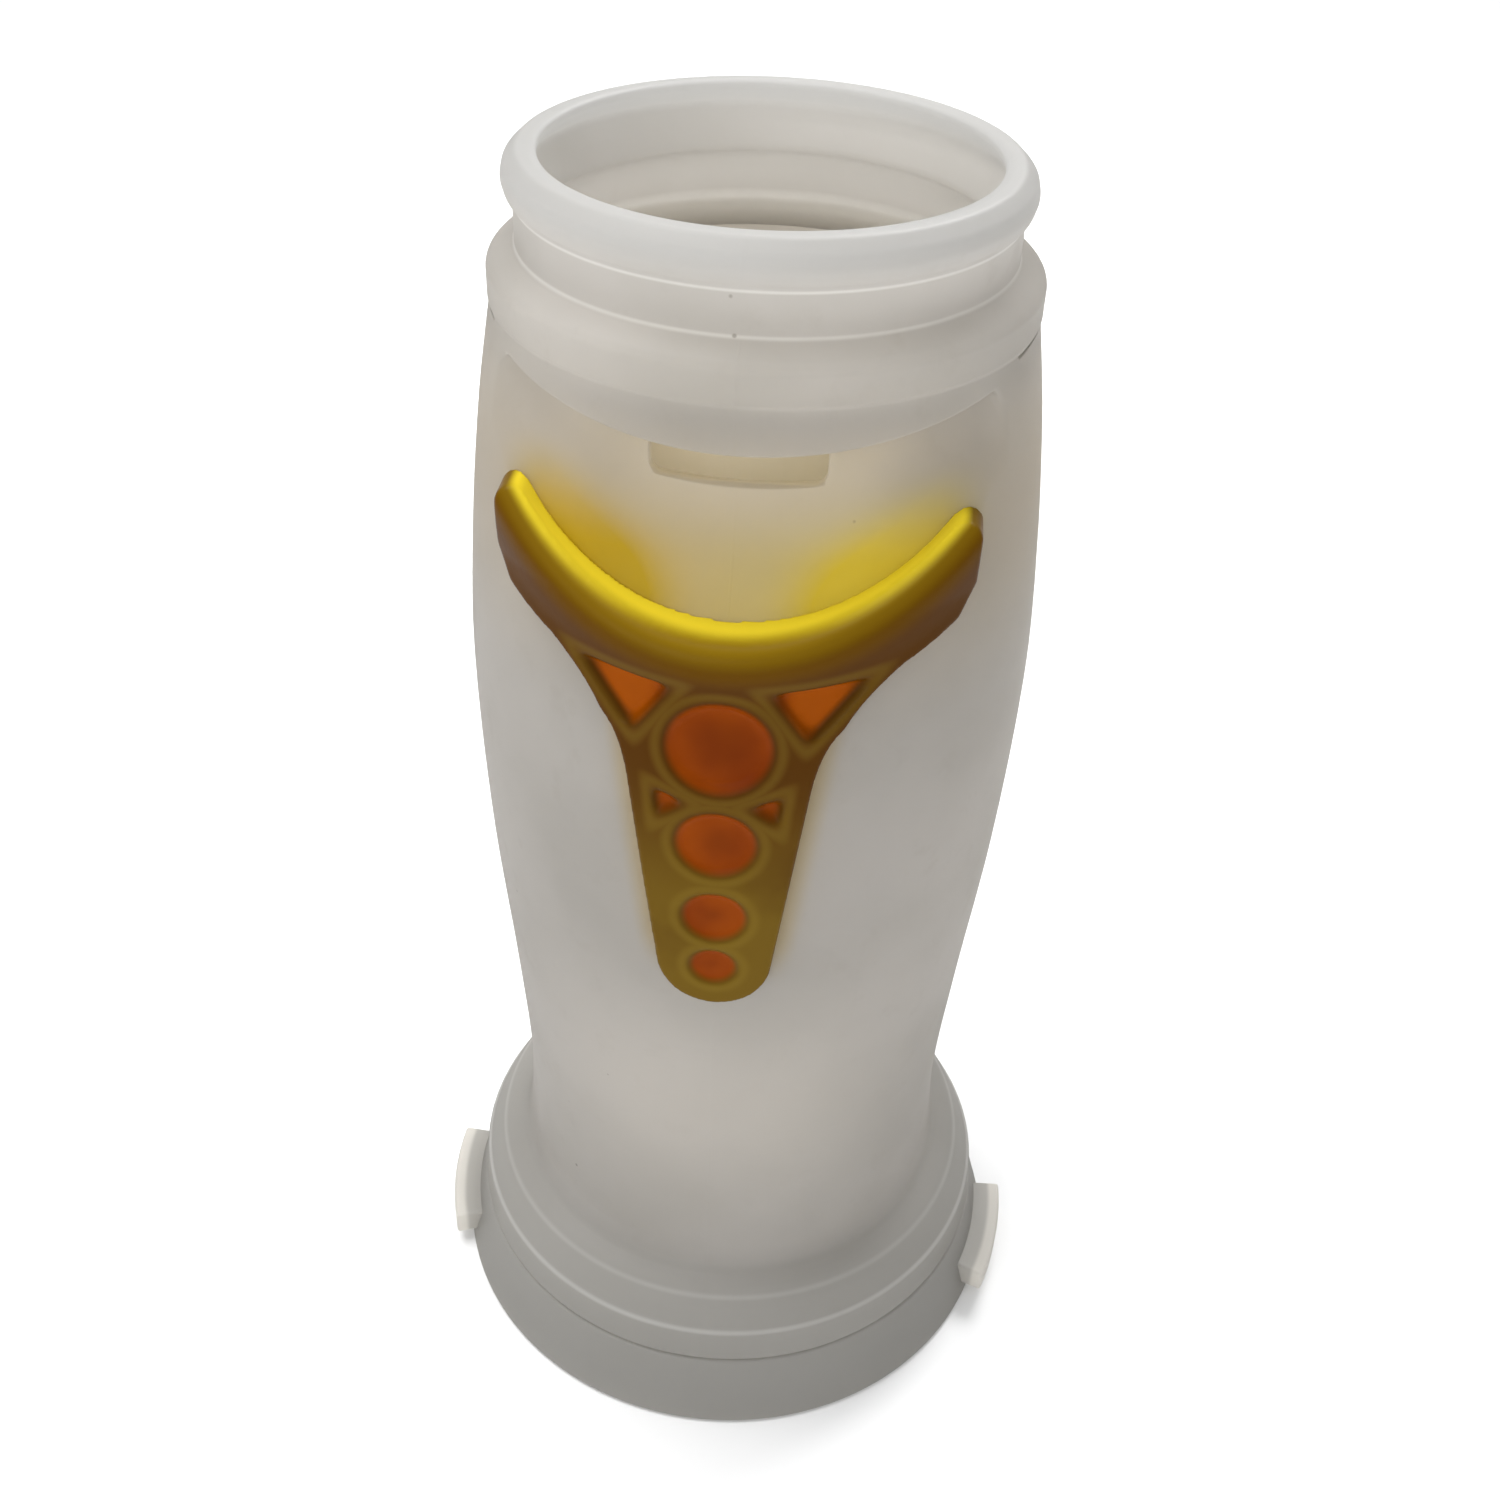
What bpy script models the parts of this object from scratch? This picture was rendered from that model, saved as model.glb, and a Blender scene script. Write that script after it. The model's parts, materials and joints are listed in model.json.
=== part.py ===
"""Wasp trap: a frosted bottle-shaped housing on a twist-off base, with a yellow landing perch.

Run with: blender --background --python part.py
Units are metres, +Z is up, the origin is the centre of the ring that the trap stands on,
and the entrance porch with its perch faces -Y.
"""

import math

import bmesh
import bpy
from mathutils import Vector

MM = 0.001

# Driving dimensions
HEIGHT = 200 * MM
WALL = 1.8 * MM
GAP = 0.3 * MM  # between two pieces that touch
FINE_STEPS = 56  # sides of a turned piece
COARSE_STEPS = 40

# Mouth, neck and collar of the housing
MOUTH_RADIUS = 28.7 * MM
RIM_RADIUS = 31.3 * MM
BEAD_RADIUS = 33.3 * MM
BEAD_HEIGHT = 196.9 * MM
NECK_RADIUS = 31.9 * MM
NECK_FOOT = 188.9 * MM
COLLAR_RADIUS = 35.6 * MM
COLLAR_HEIGHT = 186.3 * MM
COLLAR_FOOT = 181.5 * MM

# Stations (height, radius) of the housing's smooth side, from under the collar to the waist
SIDE_STATIONS = [
    (COLLAR_FOOT, 35.4 * MM),
    (168.0 * MM, 37.5 * MM),
    (150.0 * MM, 39.4 * MM),
    (130.0 * MM, 40.5 * MM),
    (100.0 * MM, 39.6 * MM),
    (70.0 * MM, 37.2 * MM),
    (46.0 * MM, 35.7 * MM),
    (30.5 * MM, 36.2 * MM),
]
SIDE_RINGS = 17

# Flared foot of the housing and the base ring it stands in
SHOULDER_RADIUS = 42.4 * MM
SHOULDER_HEIGHT = 23.8 * MM
FOOT_BAND_RADIUS = 44.3 * MM
FOOT_BAND_HEIGHT = 19.4 * MM
SEAM_HEIGHT = 12.5 * MM
SEAM_RADIUS = 45.8 * MM
BASE_RADIUS = 49.1 * MM
SPIGOT_RADIUS = 43.1 * MM
SPIGOT_FOOT = 8.0 * MM
BASE_BORE = 43.5 * MM
WEB_TOP = 5.0 * MM
WEB_BOTTOM = 3.0 * MM
CUP_HOLE_RADIUS = 33.2 * MM

# Grip lugs on the base ring, one on each side and a little towards the front
LUG_REACH = 52.0 * MM
LUG_TURN = math.radians(8.5)
LUG_HALF_ANGLE = math.radians(12.0)
LUG_BOTTOM = 2.4 * MM
LUG_TOP = 7.0 * MM

# Entrance porch: a dish scooped out of the side under a lip
PORCH_HALF_ANGLE = math.radians(62)
PORCH_HALF_WIDTH = 36.0 * MM  # of the lip's curve in the front view, past the porch's ends
PORCH_FLOOR = 149.0 * MM
PORCH_WALL_RADIUS = 31.2 * MM
DISH_CENTRE = 190.7 * MM  # height of the centre that the dish and the perch are drawn about
DISH_EDGE = 41.7 * MM  # distance from that centre where the scoop meets the side
DISH_FLAT = 22.7 * MM  # and where its wall has become upright
DISH_COLUMNS = 26
LIP_HEIGHT = 176.1 * MM
LIP_ARC_RADIUS = 145.0 * MM
SLOT_HALF_WIDTH = 11.0 * MM
SLOT_BOTTOM = 169.8 * MM
SLOT_TOP = 175.4 * MM

# Landing perch, drawn in the front view and laid on the housing's side
PERCH_ARC_RADIUS = 36.3 * MM
PERCH_LOWER_RADIUS = 46.4 * MM
PERCH_TIP_X = 26.2 * MM
PERCH_TIP_RADIUS = 2.2 * MM
NOSE_WIDTH = 5.2 * MM
NOSE_DEPTH = 4.4 * MM
NOSE_OVERLAP = 0.1 * MM
NOSE_ROOT = 0.8 * MM  # how far in front of the perch's back the nose starts
ARM_END_X = 29.4 * MM
ARM_BEND_X = 22.0 * MM
ARM_ROOT = (15.4 * MM, 141.8 * MM)
STEM_TOP = (11.8 * MM, 132.0 * MM)
STEM_END_CENTRE = 101.0 * MM
STEM_END_RADIUS = 8.0 * MM
STEM_DEPTH_TOP = 2.7 * MM
STEM_DEPTH_END = 2.0 * MM
POCKET_FLOOR = 0.7 * MM

# Round pockets of the perch (height, radius) and its three-sided pockets (corners, right side)
ROUND_POCKETS = [
    (138.9 * MM, 6.6 * MM),
    (123.5 * MM, 5.2 * MM),
    (110.3 * MM, 4.2 * MM),
    (100.6 * MM, 3.1 * MM),
]
CORNER_POCKETS = [
    [(6.9 * MM, 147.4 * MM), (17.0 * MM, 148.4 * MM), (11.3 * MM, 141.4 * MM)],
    [(4.6 * MM, 130.0 * MM), (8.4 * MM, 131.8 * MM), (8.0 * MM, 127.6 * MM)],
]
CORNER_NAMES = ["arm", "stem"]

# Entry baffle behind the slot
BAFFLE_RADIUS = 22.0 * MM
BAFFLE_THICKNESS = 1.5 * MM
BAFFLE_HALF_WIDTH = 14.5 * MM
BAFFLE_TOP = 181.5 * MM
BAFFLE_BOTTOM = 158.0 * MM
BAFFLE_TAB_REACH = 33.1 * MM

# Bait cup, its pad and its cover
CUP_RADIUS = 32.6 * MM
CUP_WALL = 1.6 * MM
CUP_FOOT = 0.8 * MM
CUP_TOP = 22.0 * MM
CUP_FLANGE_RADIUS = 36.0 * MM
CUP_FLANGE_THICKNESS = 1.5 * MM
PAD_RADIUS = 29.5 * MM
PAD_THICKNESS = 6.0 * MM
COVER_THICKNESS = 1.5 * MM
COVER_PLUG_DEPTH = 3.0 * MM
COVER_KNOB_RADIUS = 5.0 * MM
COVER_KNOB_HEIGHT = 5.0 * MM
VENT_COUNT = 8
VENT_RADIUS = 1.8 * MM
VENT_CIRCLE = 19.0 * MM

# Seal ring between the housing's spigot and the base ring
SEAL_RADIUS = 1.1 * MM
SEAL_CENTRE_RADIUS = 42.0 * MM

FAR = 62 * MM  # past the outside of everything at the porch


def clear_scene():
    for obj in list(bpy.data.objects):
        bpy.data.objects.remove(obj, do_unlink=True)


def new_collection(name):
    collection = bpy.data.collections.new(name)
    bpy.context.scene.collection.children.link(collection)
    return collection


def new_material(name, color, roughness, alpha=1.0):
    material = bpy.data.materials.new(name)
    material.use_nodes = True
    shader = material.node_tree.nodes["Principled BSDF"]
    shader.inputs["Base Color"].default_value = (*color, 1)
    shader.inputs["Roughness"].default_value = roughness
    shader.inputs["Metallic"].default_value = 0.0
    shader.inputs["Alpha"].default_value = alpha
    material.diffuse_color = (*color, alpha)
    return material


def turned(name, profile, collection, steps=FINE_STEPS, closed=True):
    """A turned solid from (radius, height) points that run down the outer side first."""
    mesh = bpy.data.meshes.new(name)
    points = [(radius, 0, height) for radius, height in profile]
    edges = [(i, i + 1) for i in range(len(points) - 1)]
    if closed:
        edges.append((len(points) - 1, 0))
    mesh.from_pydata(points, edges, [])
    obj = bpy.data.objects.new(name, mesh)
    collection.objects.link(obj)
    screw = obj.modifiers.new("Turn", "SCREW")
    screw.angle = math.tau
    screw.steps = steps
    screw.render_steps = steps
    screw.use_merge_vertices = True
    screw.merge_threshold = 0.00001
    screw.use_smooth_shade = True
    return obj


def prism(name, outline, near, far, collection):
    """A solid with the given front-view outline of (x, z) points, from y = near to y = far."""
    mesh = bpy.data.meshes.new(name)
    shape = bmesh.new()
    face = shape.faces.new([shape.verts.new((x, near, z)) for x, z in outline])
    swept = bmesh.ops.extrude_face_region(shape, geom=[face])
    corners = [item for item in swept["geom"] if isinstance(item, bmesh.types.BMVert)]
    bmesh.ops.translate(shape, verts=corners, vec=Vector((0, far - near, 0)))
    bmesh.ops.recalc_face_normals(shape, faces=shape.faces)
    shape.to_mesh(mesh)
    shape.free()
    obj = bpy.data.objects.new(name, mesh)
    collection.objects.link(obj)
    return obj


def raise_face(shape, face, height):
    """Extrudes a face upwards into a closed solid."""
    swept = bmesh.ops.extrude_face_region(shape, geom=[face])
    corners = [item for item in swept["geom"] if isinstance(item, bmesh.types.BMVert)]
    bmesh.ops.translate(shape, verts=corners, vec=Vector((0, 0, height)))
    bmesh.ops.recalc_face_normals(shape, faces=shape.faces)


def combine(obj, other, operation):
    """Adds a Boolean modifier and hides the other operand from the render."""
    boolean = obj.modifiers.new(operation.title() + " " + other.name, "BOOLEAN")
    boolean.operation = operation
    boolean.solver = "EXACT"
    boolean.object = other
    hide_helper(other)
    return obj


def hide_helper(obj):
    obj.hide_render = True
    obj.display_type = "WIRE"


def finish_part(obj, material, parent):
    obj.data.materials.append(material)
    obj.parent = parent


def arc(centre, radius, start, end, count):
    """Points of a circular arc in the front view, angles in degrees from +X towards +Z."""
    points = []
    for i in range(count + 1):
        angle = math.radians(start + (end - start) * i / count)
        x = centre[0] + radius * math.cos(angle)
        points.append((x, centre[1] + radius * math.sin(angle)))
    return points


def bezier(start, control, end, count):
    """Inner points of a quadratic curve."""
    points = []
    for i in range(1, count):
        t = i / count
        blend = [(1 - t) ** 2 * a + 2 * t * (1 - t) * b + t * t * c for a, b, c in zip(start, control, end)]
        points.append(tuple(blend))
    return points


def mirrored(half):
    """A whole outline from its right half, listed from the bottom centre to the top centre."""
    left = [(-x, z) for x, z in reversed(half) if x > 0.05 * MM]
    return half + left


def side_radius(height):
    """Outer radius of the housing's smooth side: a cubic Hermite curve through the stations."""
    stations = sorted(SIDE_STATIONS)
    if height <= stations[0][0]:
        return stations[0][1]
    if height >= stations[-1][0]:
        return stations[-1][1]
    index = max(i for i, station in enumerate(stations) if station[0] <= height)
    index = min(index, len(stations) - 2)

    def slope(i):
        low = stations[max(i - 1, 0)]
        high = stations[min(i + 1, len(stations) - 1)]
        return (high[1] - low[1]) / (high[0] - low[0])

    (z0, r0), (z1, r1) = stations[index], stations[index + 1]
    span = z1 - z0
    t = (height - z0) / span
    return (
        (2 * t**3 - 3 * t**2 + 1) * r0
        + (t**3 - 2 * t**2 + t) * span * slope(index)
        + (3 * t**2 - 2 * t**3) * r1
        + (t**3 - t**2) * span * slope(index + 1)
    )


def side_profile(inset):
    """Points down the smooth side, moved inwards by inset."""
    top = SIDE_STATIONS[0][0]
    bottom = SIDE_STATIONS[-1][0]
    heights = [top + (bottom - top) * i / (SIDE_RINGS - 1) for i in range(SIDE_RINGS)]
    return [(side_radius(height) - inset, height) for height in heights]


def porch_radius(angle, height):
    """Radius of the porch's scooped wall: upright under the lip, then sweeping out to the side."""
    across = side_radius(height) * math.sin(angle)
    run = (DISH_EDGE - math.hypot(across, height - DISH_CENTRE)) / (DISH_EDGE - DISH_FLAT)
    run = min(max(run, 0.0), 1.0)
    outer = side_radius(PORCH_FLOOR) + 0.6 * MM
    sweep = (1 - run) ** 1.7
    return PORCH_WALL_RADIUS + (outer - PORCH_WALL_RADIUS) * sweep


def rest_radius(angle, height):
    """Radius of the surface that the perch lies on."""
    if height < PORCH_FLOOR:
        return side_radius(height)
    return min(porch_radius(angle, height), side_radius(height))


def neck_profile():
    return [
        (MOUTH_RADIUS, HEIGHT),
        (RIM_RADIUS, HEIGHT),
        (BEAD_RADIUS - 0.6 * MM, BEAD_HEIGHT + 1.7 * MM),
        (BEAD_RADIUS, BEAD_HEIGHT),
        (BEAD_RADIUS - 0.6 * MM, BEAD_HEIGHT - 1.7 * MM),
        (NECK_RADIUS, BEAD_HEIGHT - 2.6 * MM),
        (NECK_RADIUS, NECK_FOOT),
        (NECK_RADIUS + 1.4 * MM, COLLAR_HEIGHT),
        (COLLAR_RADIUS, COLLAR_HEIGHT),
        (COLLAR_RADIUS, COLLAR_HEIGHT - 2.2 * MM),
    ]


def foot_profile():
    return [
        (SHOULDER_RADIUS - 5.0 * MM, SHOULDER_HEIGHT + 2.2 * MM),
        (SHOULDER_RADIUS - 1.2 * MM, SHOULDER_HEIGHT + 1.0 * MM),
        (SHOULDER_RADIUS, SHOULDER_HEIGHT - 0.3 * MM),
        (FOOT_BAND_RADIUS, FOOT_BAND_HEIGHT),
        (FOOT_BAND_RADIUS + 0.7 * MM, SEAM_HEIGHT + GAP),
        (SPIGOT_RADIUS, SEAM_HEIGHT + GAP),
        (SPIGOT_RADIUS, SPIGOT_FOOT),
    ]


def foot_cavity_profile():
    return [
        (SHOULDER_RADIUS - 6.4 * MM, SHOULDER_HEIGHT + 0.4 * MM),
        (SHOULDER_RADIUS - 2.6 * MM, SHOULDER_HEIGHT - 0.9 * MM),
        (FOOT_BAND_RADIUS - 2.3 * MM, FOOT_BAND_HEIGHT),
        (SPIGOT_RADIUS - WALL, SEAM_HEIGHT),
        (SPIGOT_RADIUS - WALL, SPIGOT_FOOT - 4 * MM),
    ]


def neck_cavity_profile():
    return [
        (MOUTH_RADIUS, HEIGHT + 4 * MM),
        (MOUTH_RADIUS, HEIGHT - 0.9 * MM),
        (BEAD_RADIUS - 2.6 * MM, BEAD_HEIGHT),
        (NECK_RADIUS - 2.4 * MM, BEAD_HEIGHT - 3.0 * MM),
        (NECK_RADIUS - 2.8 * MM, NECK_FOOT - 0.4 * MM),
        (COLLAR_RADIUS - 3.0 * MM, COLLAR_HEIGHT - 1.6 * MM),
    ]


def porch_outline():
    half_angle = math.degrees(math.asin(PORCH_HALF_WIDTH / LIP_ARC_RADIUS))
    lip_centre = (0, LIP_HEIGHT + LIP_ARC_RADIUS)
    lip = arc(lip_centre, LIP_ARC_RADIUS, -90 - half_angle, -90 + half_angle, 12)
    return [(PORCH_HALF_WIDTH, PORCH_FLOOR), (-PORCH_HALF_WIDTH, PORCH_FLOOR)] + lip


def build_housing(collection, cutters):
    outside = neck_profile()[1:] + side_profile(0) + foot_profile()
    housing = turned(
        "trap_body", [(0, HEIGHT)] + outside + [(0, SPIGOT_FOOT)], collection, closed=False
    )
    inside = neck_cavity_profile() + side_profile(WALL) + foot_cavity_profile()
    cavity = turned(
        "cavity_cutter",
        [(0, HEIGHT + 4 * MM)] + inside + [(0, SPIGOT_FOOT - 4 * MM)],
        cutters,
        closed=False,
    )
    porch = porch_cutter("porch_cutter", 0.0, cutters)
    porch_backing = porch_cutter("porch_backing", WALL, cutters)
    combine(cavity, porch_backing, "DIFFERENCE")
    combine(housing, porch, "DIFFERENCE")
    combine(housing, cavity, "DIFFERENCE")
    slot = prism("slot_cutter", slot_outline(), -FAR, -BAFFLE_RADIUS, cutters)
    combine(housing, slot, "DIFFERENCE")
    return housing


def porch_cutter(name, grow, cutters):
    """The porch's hollow, a dished block in front, grown by a wall thickness."""
    top = LIP_HEIGHT + 6 * MM + grow
    bottom = PORCH_FLOOR - grow
    half_angle = PORCH_HALF_ANGLE + grow / PORCH_WALL_RADIUS

    def wall(angle, height):
        return porch_radius(angle, height - 0.4 * grow) - grow

    def far(angle, height):
        return FAR

    block = curved_block(name, wall, far, half_angle, (bottom, top), DISH_COLUMNS, 15, cutters)
    outline = [(x, z + (grow if z > PORCH_FLOOR else -2 * grow)) for x, z in porch_outline()]
    front = prism(name + "_front", outline, -FAR - MM, -5 * MM, cutters)
    return combine(block, front, "INTERSECT")


def curved_block(name, inner, outer, half_angle, heights, columns, rows, collection):
    """A block round the front between two radius functions of the azimuth and the height."""
    bottom, top = heights
    mesh = bpy.data.meshes.new(name)
    shape = bmesh.new()
    sheets = []
    for radius_at in (outer, inner):
        grid = []
        for i in range(columns + 1):
            angle = half_angle * (2 * i / columns - 1)
            line = []
            for k in range(rows + 1):
                height = bottom + (top - bottom) * k / rows
                radius = radius_at(angle, height)
                place = (radius * math.sin(angle), -radius * math.cos(angle), height)
                line.append(shape.verts.new(place))
            grid.append(line)
        sheets.append(grid)
    for i in range(columns):
        for k in range(rows):
            for grid in sheets:
                shape.faces.new((grid[i][k], grid[i + 1][k], grid[i + 1][k + 1], grid[i][k + 1]))
    front, back = sheets
    for i in range(columns):
        for k in (0, rows):
            shape.faces.new((front[i][k], front[i + 1][k], back[i + 1][k], back[i][k]))
    for k in range(rows):
        for i in (0, columns):
            shape.faces.new((front[i][k], front[i][k + 1], back[i][k + 1], back[i][k]))
    bmesh.ops.recalc_face_normals(shape, faces=shape.faces)
    shape.to_mesh(mesh)
    shape.free()
    block = bpy.data.objects.new(name, mesh)
    collection.objects.link(block)
    return block


def slot_outline():
    corner = 1.5 * MM
    right = SLOT_HALF_WIDTH - corner
    low = SLOT_BOTTOM + corner
    high = SLOT_TOP - corner
    return (
        arc((right, low), corner, -90, 0, 3)
        + arc((right, high), corner, 0, 90, 3)
        + arc((-right, high), corner, 90, 180, 3)
        + arc((-right, low), corner, 180, 270, 3)
    )


def arm_end(grow=0.0):
    """Right end of the perch's arm, round its tip to the top edge, and the tip's azimuth in degrees."""
    tip_angle = math.asin(PERCH_TIP_X / PERCH_ARC_RADIUS)
    reach = PERCH_ARC_RADIUS + PERCH_TIP_RADIUS
    centre = (reach * math.sin(tip_angle), DISH_CENTRE - reach * math.cos(tip_angle))
    degrees = math.degrees(tip_angle)
    return arc(centre, PERCH_TIP_RADIUS + grow, 0, degrees + 90, 8), degrees


def dish_arc(radius, start_x, end_x, count):
    """Part of a circle about the dish's centre, below it, from one x to another."""
    start = math.degrees(math.asin(start_x / radius)) - 90
    end = math.degrees(math.asin(end_x / radius)) - 90
    return arc((0, DISH_CENTRE), radius, start, end, count)


def perch_outline():
    tip, tip_degrees = arm_end()
    half = arc((0, STEM_END_CENTRE), STEM_END_RADIUS, -90, -4, 7)
    half += [STEM_TOP]
    armpit = (STEM_TOP[0] + 0.9 * MM, ARM_ROOT[1] - 2.6 * MM)
    half += bezier(STEM_TOP, armpit, ARM_ROOT, 4) + [ARM_ROOT]
    lower = dish_arc(PERCH_LOWER_RADIUS, ARM_BEND_X, ARM_END_X, 5)
    bend = (ARM_ROOT[0] + 2.1 * MM, ARM_ROOT[1] + 4.4 * MM)
    half += bezier(ARM_ROOT, bend, lower[0], 4) + lower
    half += tip + dish_arc(PERCH_ARC_RADIUS, PERCH_TIP_X, 0, 12)[1:]
    return mirrored(half)


def nose_outline():
    """Band along the perch's top edge, a little proud of the plate so that no faces coincide."""
    tip, tip_degrees = arm_end(NOSE_OVERLAP)
    lower_radius = PERCH_ARC_RADIUS + NOSE_WIDTH
    lower_end = lower_radius * math.sin(math.radians(tip_degrees))
    upper_radius = PERCH_ARC_RADIUS - NOSE_OVERLAP
    upper_end = upper_radius * math.sin(math.radians(tip_degrees))
    below = dish_arc(lower_radius, 0, lower_end, 12)
    above = dish_arc(upper_radius, upper_end, 0, 12)
    return mirrored(below + tip[1:] + above[1:])


def perch_back(angle, height):
    """Stands a little further off the dish's edge, where the housing turns a corner."""
    across = side_radius(height) * math.sin(angle)
    from_edge = abs(math.hypot(across, height - DISH_CENTRE) - DISH_EDGE + 0.8 * MM)
    clear = max(0.6 * MM - 0.25 * from_edge, 0.0)
    return rest_radius(angle, height) + GAP + clear


def stem_front(angle, height):
    share = (height - STEM_END_CENTRE) / (ARM_ROOT[1] - STEM_END_CENTRE)
    share = min(max(share, -0.2), 1.0)
    depth = STEM_DEPTH_END + (STEM_DEPTH_TOP - STEM_DEPTH_END) * share
    return side_radius(height) + depth


def nose_back(angle, height):
    return perch_back(angle, height) + NOSE_ROOT


def nose_front(angle, height):
    return side_radius(min(height, 155 * MM)) + NOSE_DEPTH


def build_perch(collection, cutters):
    half_angle = math.radians(61)
    heights = ((STEM_END_CENTRE - STEM_END_RADIUS) - 2 * MM, 172 * MM)
    perch = curved_block(
        "landing_perch", perch_back, stem_front, half_angle, heights, DISH_COLUMNS, 40, collection
    )
    plate = prism("perch_outline_cutter", perch_outline(), -FAR, -5 * MM, cutters)
    combine(perch, plate, "INTERSECT")
    nose_heights = (146 * MM, 172 * MM)
    nose = curved_block(
        "perch_nose_block", nose_back, nose_front, half_angle, nose_heights, DISH_COLUMNS, 12, cutters
    )
    band = prism("perch_nose_cutter", nose_outline(), -FAR, -5 * MM, cutters)
    combine(nose, band, "INTERSECT")
    combine(perch, nose, "UNION")
    for index, (height, radius) in enumerate(ROUND_POCKETS):
        outline = arc((0, height), radius, 0, 345, 23)
        cut_pocket(perch, "round_pocket_%d" % (index + 1), outline, cutters)
    for side_name, side in (("right", 1), ("left", -1)):
        for name, corners in zip(CORNER_NAMES, CORNER_POCKETS):
            outline = [(side * x, z) for x, z in corners]
            cut_pocket(perch, "%s_pocket_%s" % (name, side_name), outline, cutters)
    return perch


def cut_pocket(perch, name, outline, cutters):
    """Cuts a blind pocket whose floor follows the perch's back."""
    heights = [z for _, z in outline]
    limits = (min(heights) - MM, max(heights) + MM)

    def floor(angle, height):
        return side_radius(height) + GAP + POCKET_FLOOR

    def far(angle, height):
        return FAR

    block = curved_block(name + "_block", floor, far, math.radians(45), limits, 18, 5, cutters)
    front = prism(name + "_outline", outline, -FAR - MM, -5 * MM, cutters)
    combine(block, front, "INTERSECT")
    combine(perch, block, "DIFFERENCE")


def build_baffle(collection, cutters):
    inner = BAFFLE_RADIUS - BAFFLE_THICKNESS
    profile = [
        (inner, BAFFLE_TOP),
        (BAFFLE_TAB_REACH, BAFFLE_TOP),
        (BAFFLE_TAB_REACH, BAFFLE_TOP - BAFFLE_THICKNESS),
        (BAFFLE_RADIUS, BAFFLE_TOP - BAFFLE_THICKNESS),
        (BAFFLE_RADIUS, BAFFLE_BOTTOM),
        (inner, BAFFLE_BOTTOM),
    ]
    baffle = turned("entry_baffle", profile, collection)
    outline = [
        (-BAFFLE_HALF_WIDTH, BAFFLE_BOTTOM - MM),
        (BAFFLE_HALF_WIDTH, BAFFLE_BOTTOM - MM),
        (BAFFLE_HALF_WIDTH, BAFFLE_TOP + MM),
        (-BAFFLE_HALF_WIDTH, BAFFLE_TOP + MM),
    ]
    front = prism("baffle_width_cutter", outline, -FAR, -5 * MM, cutters)
    return combine(baffle, front, "INTERSECT")


def build_base_ring(collection, cutters):
    profile = [
        (BASE_BORE, SEAM_HEIGHT),
        (SEAM_RADIUS - 0.4 * MM, SEAM_HEIGHT),
        (SEAM_RADIUS, SEAM_HEIGHT - 0.5 * MM),
        (BASE_RADIUS, 0.5 * MM),
        (BASE_RADIUS - 0.4 * MM, 0),
        (BASE_RADIUS - 2.2 * MM, 0),
        (BASE_RADIUS - 3.2 * MM, WEB_BOTTOM),
        (CUP_HOLE_RADIUS, WEB_BOTTOM),
        (CUP_HOLE_RADIUS, WEB_TOP),
        (BASE_BORE, WEB_TOP),
    ]
    ring = turned("base_ring", profile, collection)
    for name, turn in (("right", -LUG_TURN), ("left", math.pi + LUG_TURN)):
        combine(ring, build_lug(name, turn, cutters), "UNION")
    return ring


def build_lug(name, turn, cutters):
    """A grip lug as a curved block that starts inside the ring's wall."""
    mesh = bpy.data.meshes.new("lug_" + name)
    shape = bmesh.new()
    root = BASE_RADIUS - 2.6 * MM
    count = 4
    angles = [turn - LUG_HALF_ANGLE + 2 * LUG_HALF_ANGLE * i / count for i in range(count + 1)]
    outline = [(LUG_REACH * math.cos(a), LUG_REACH * math.sin(a)) for a in angles]
    outline += [(root * math.cos(a), root * math.sin(a)) for a in reversed(angles)]
    face = shape.faces.new([shape.verts.new((x, y, LUG_BOTTOM)) for x, y in outline])
    raise_face(shape, face, LUG_TOP - LUG_BOTTOM)
    shape.to_mesh(mesh)
    shape.free()
    lug = bpy.data.objects.new("lug_" + name, mesh)
    cutters.objects.link(lug)
    return lug


def build_seal(collection):
    height = WEB_TOP + GAP + SEAL_RADIUS
    count = 10
    profile = []
    for i in range(count):
        angle = math.pi / 2 - math.tau * i / count
        radius = SEAL_CENTRE_RADIUS + SEAL_RADIUS * math.cos(angle)
        profile.append((radius, height + SEAL_RADIUS * math.sin(angle)))
    return turned("base_seal", profile, collection, COARSE_STEPS)


def build_cup(collection):
    flange_bottom = WEB_TOP + GAP
    flange_top = flange_bottom + CUP_FLANGE_THICKNESS
    inner = CUP_RADIUS - CUP_WALL
    profile = [
        (inner, CUP_TOP),
        (CUP_RADIUS, CUP_TOP),
        (CUP_RADIUS, flange_top),
        (CUP_FLANGE_RADIUS, flange_top),
        (CUP_FLANGE_RADIUS, flange_bottom),
        (CUP_RADIUS, flange_bottom),
        (CUP_RADIUS, CUP_FOOT + 0.8 * MM),
        (CUP_RADIUS - 0.8 * MM, CUP_FOOT),
        (0, CUP_FOOT),
    ]
    floor = CUP_FOOT + CUP_WALL
    inside = [(0, floor), (inner, floor)]
    return turned("bait_cup", inside + profile, collection, COARSE_STEPS, closed=False)


def build_pad(collection):
    bottom = CUP_FOOT + CUP_WALL + GAP
    top = bottom + PAD_THICKNESS
    profile = [
        (0, top),
        (PAD_RADIUS - 0.8 * MM, top),
        (PAD_RADIUS, top - 0.8 * MM),
        (PAD_RADIUS, bottom),
        (0, bottom),
    ]
    return turned("bait_pad", profile, collection, COARSE_STEPS, closed=False)


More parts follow.
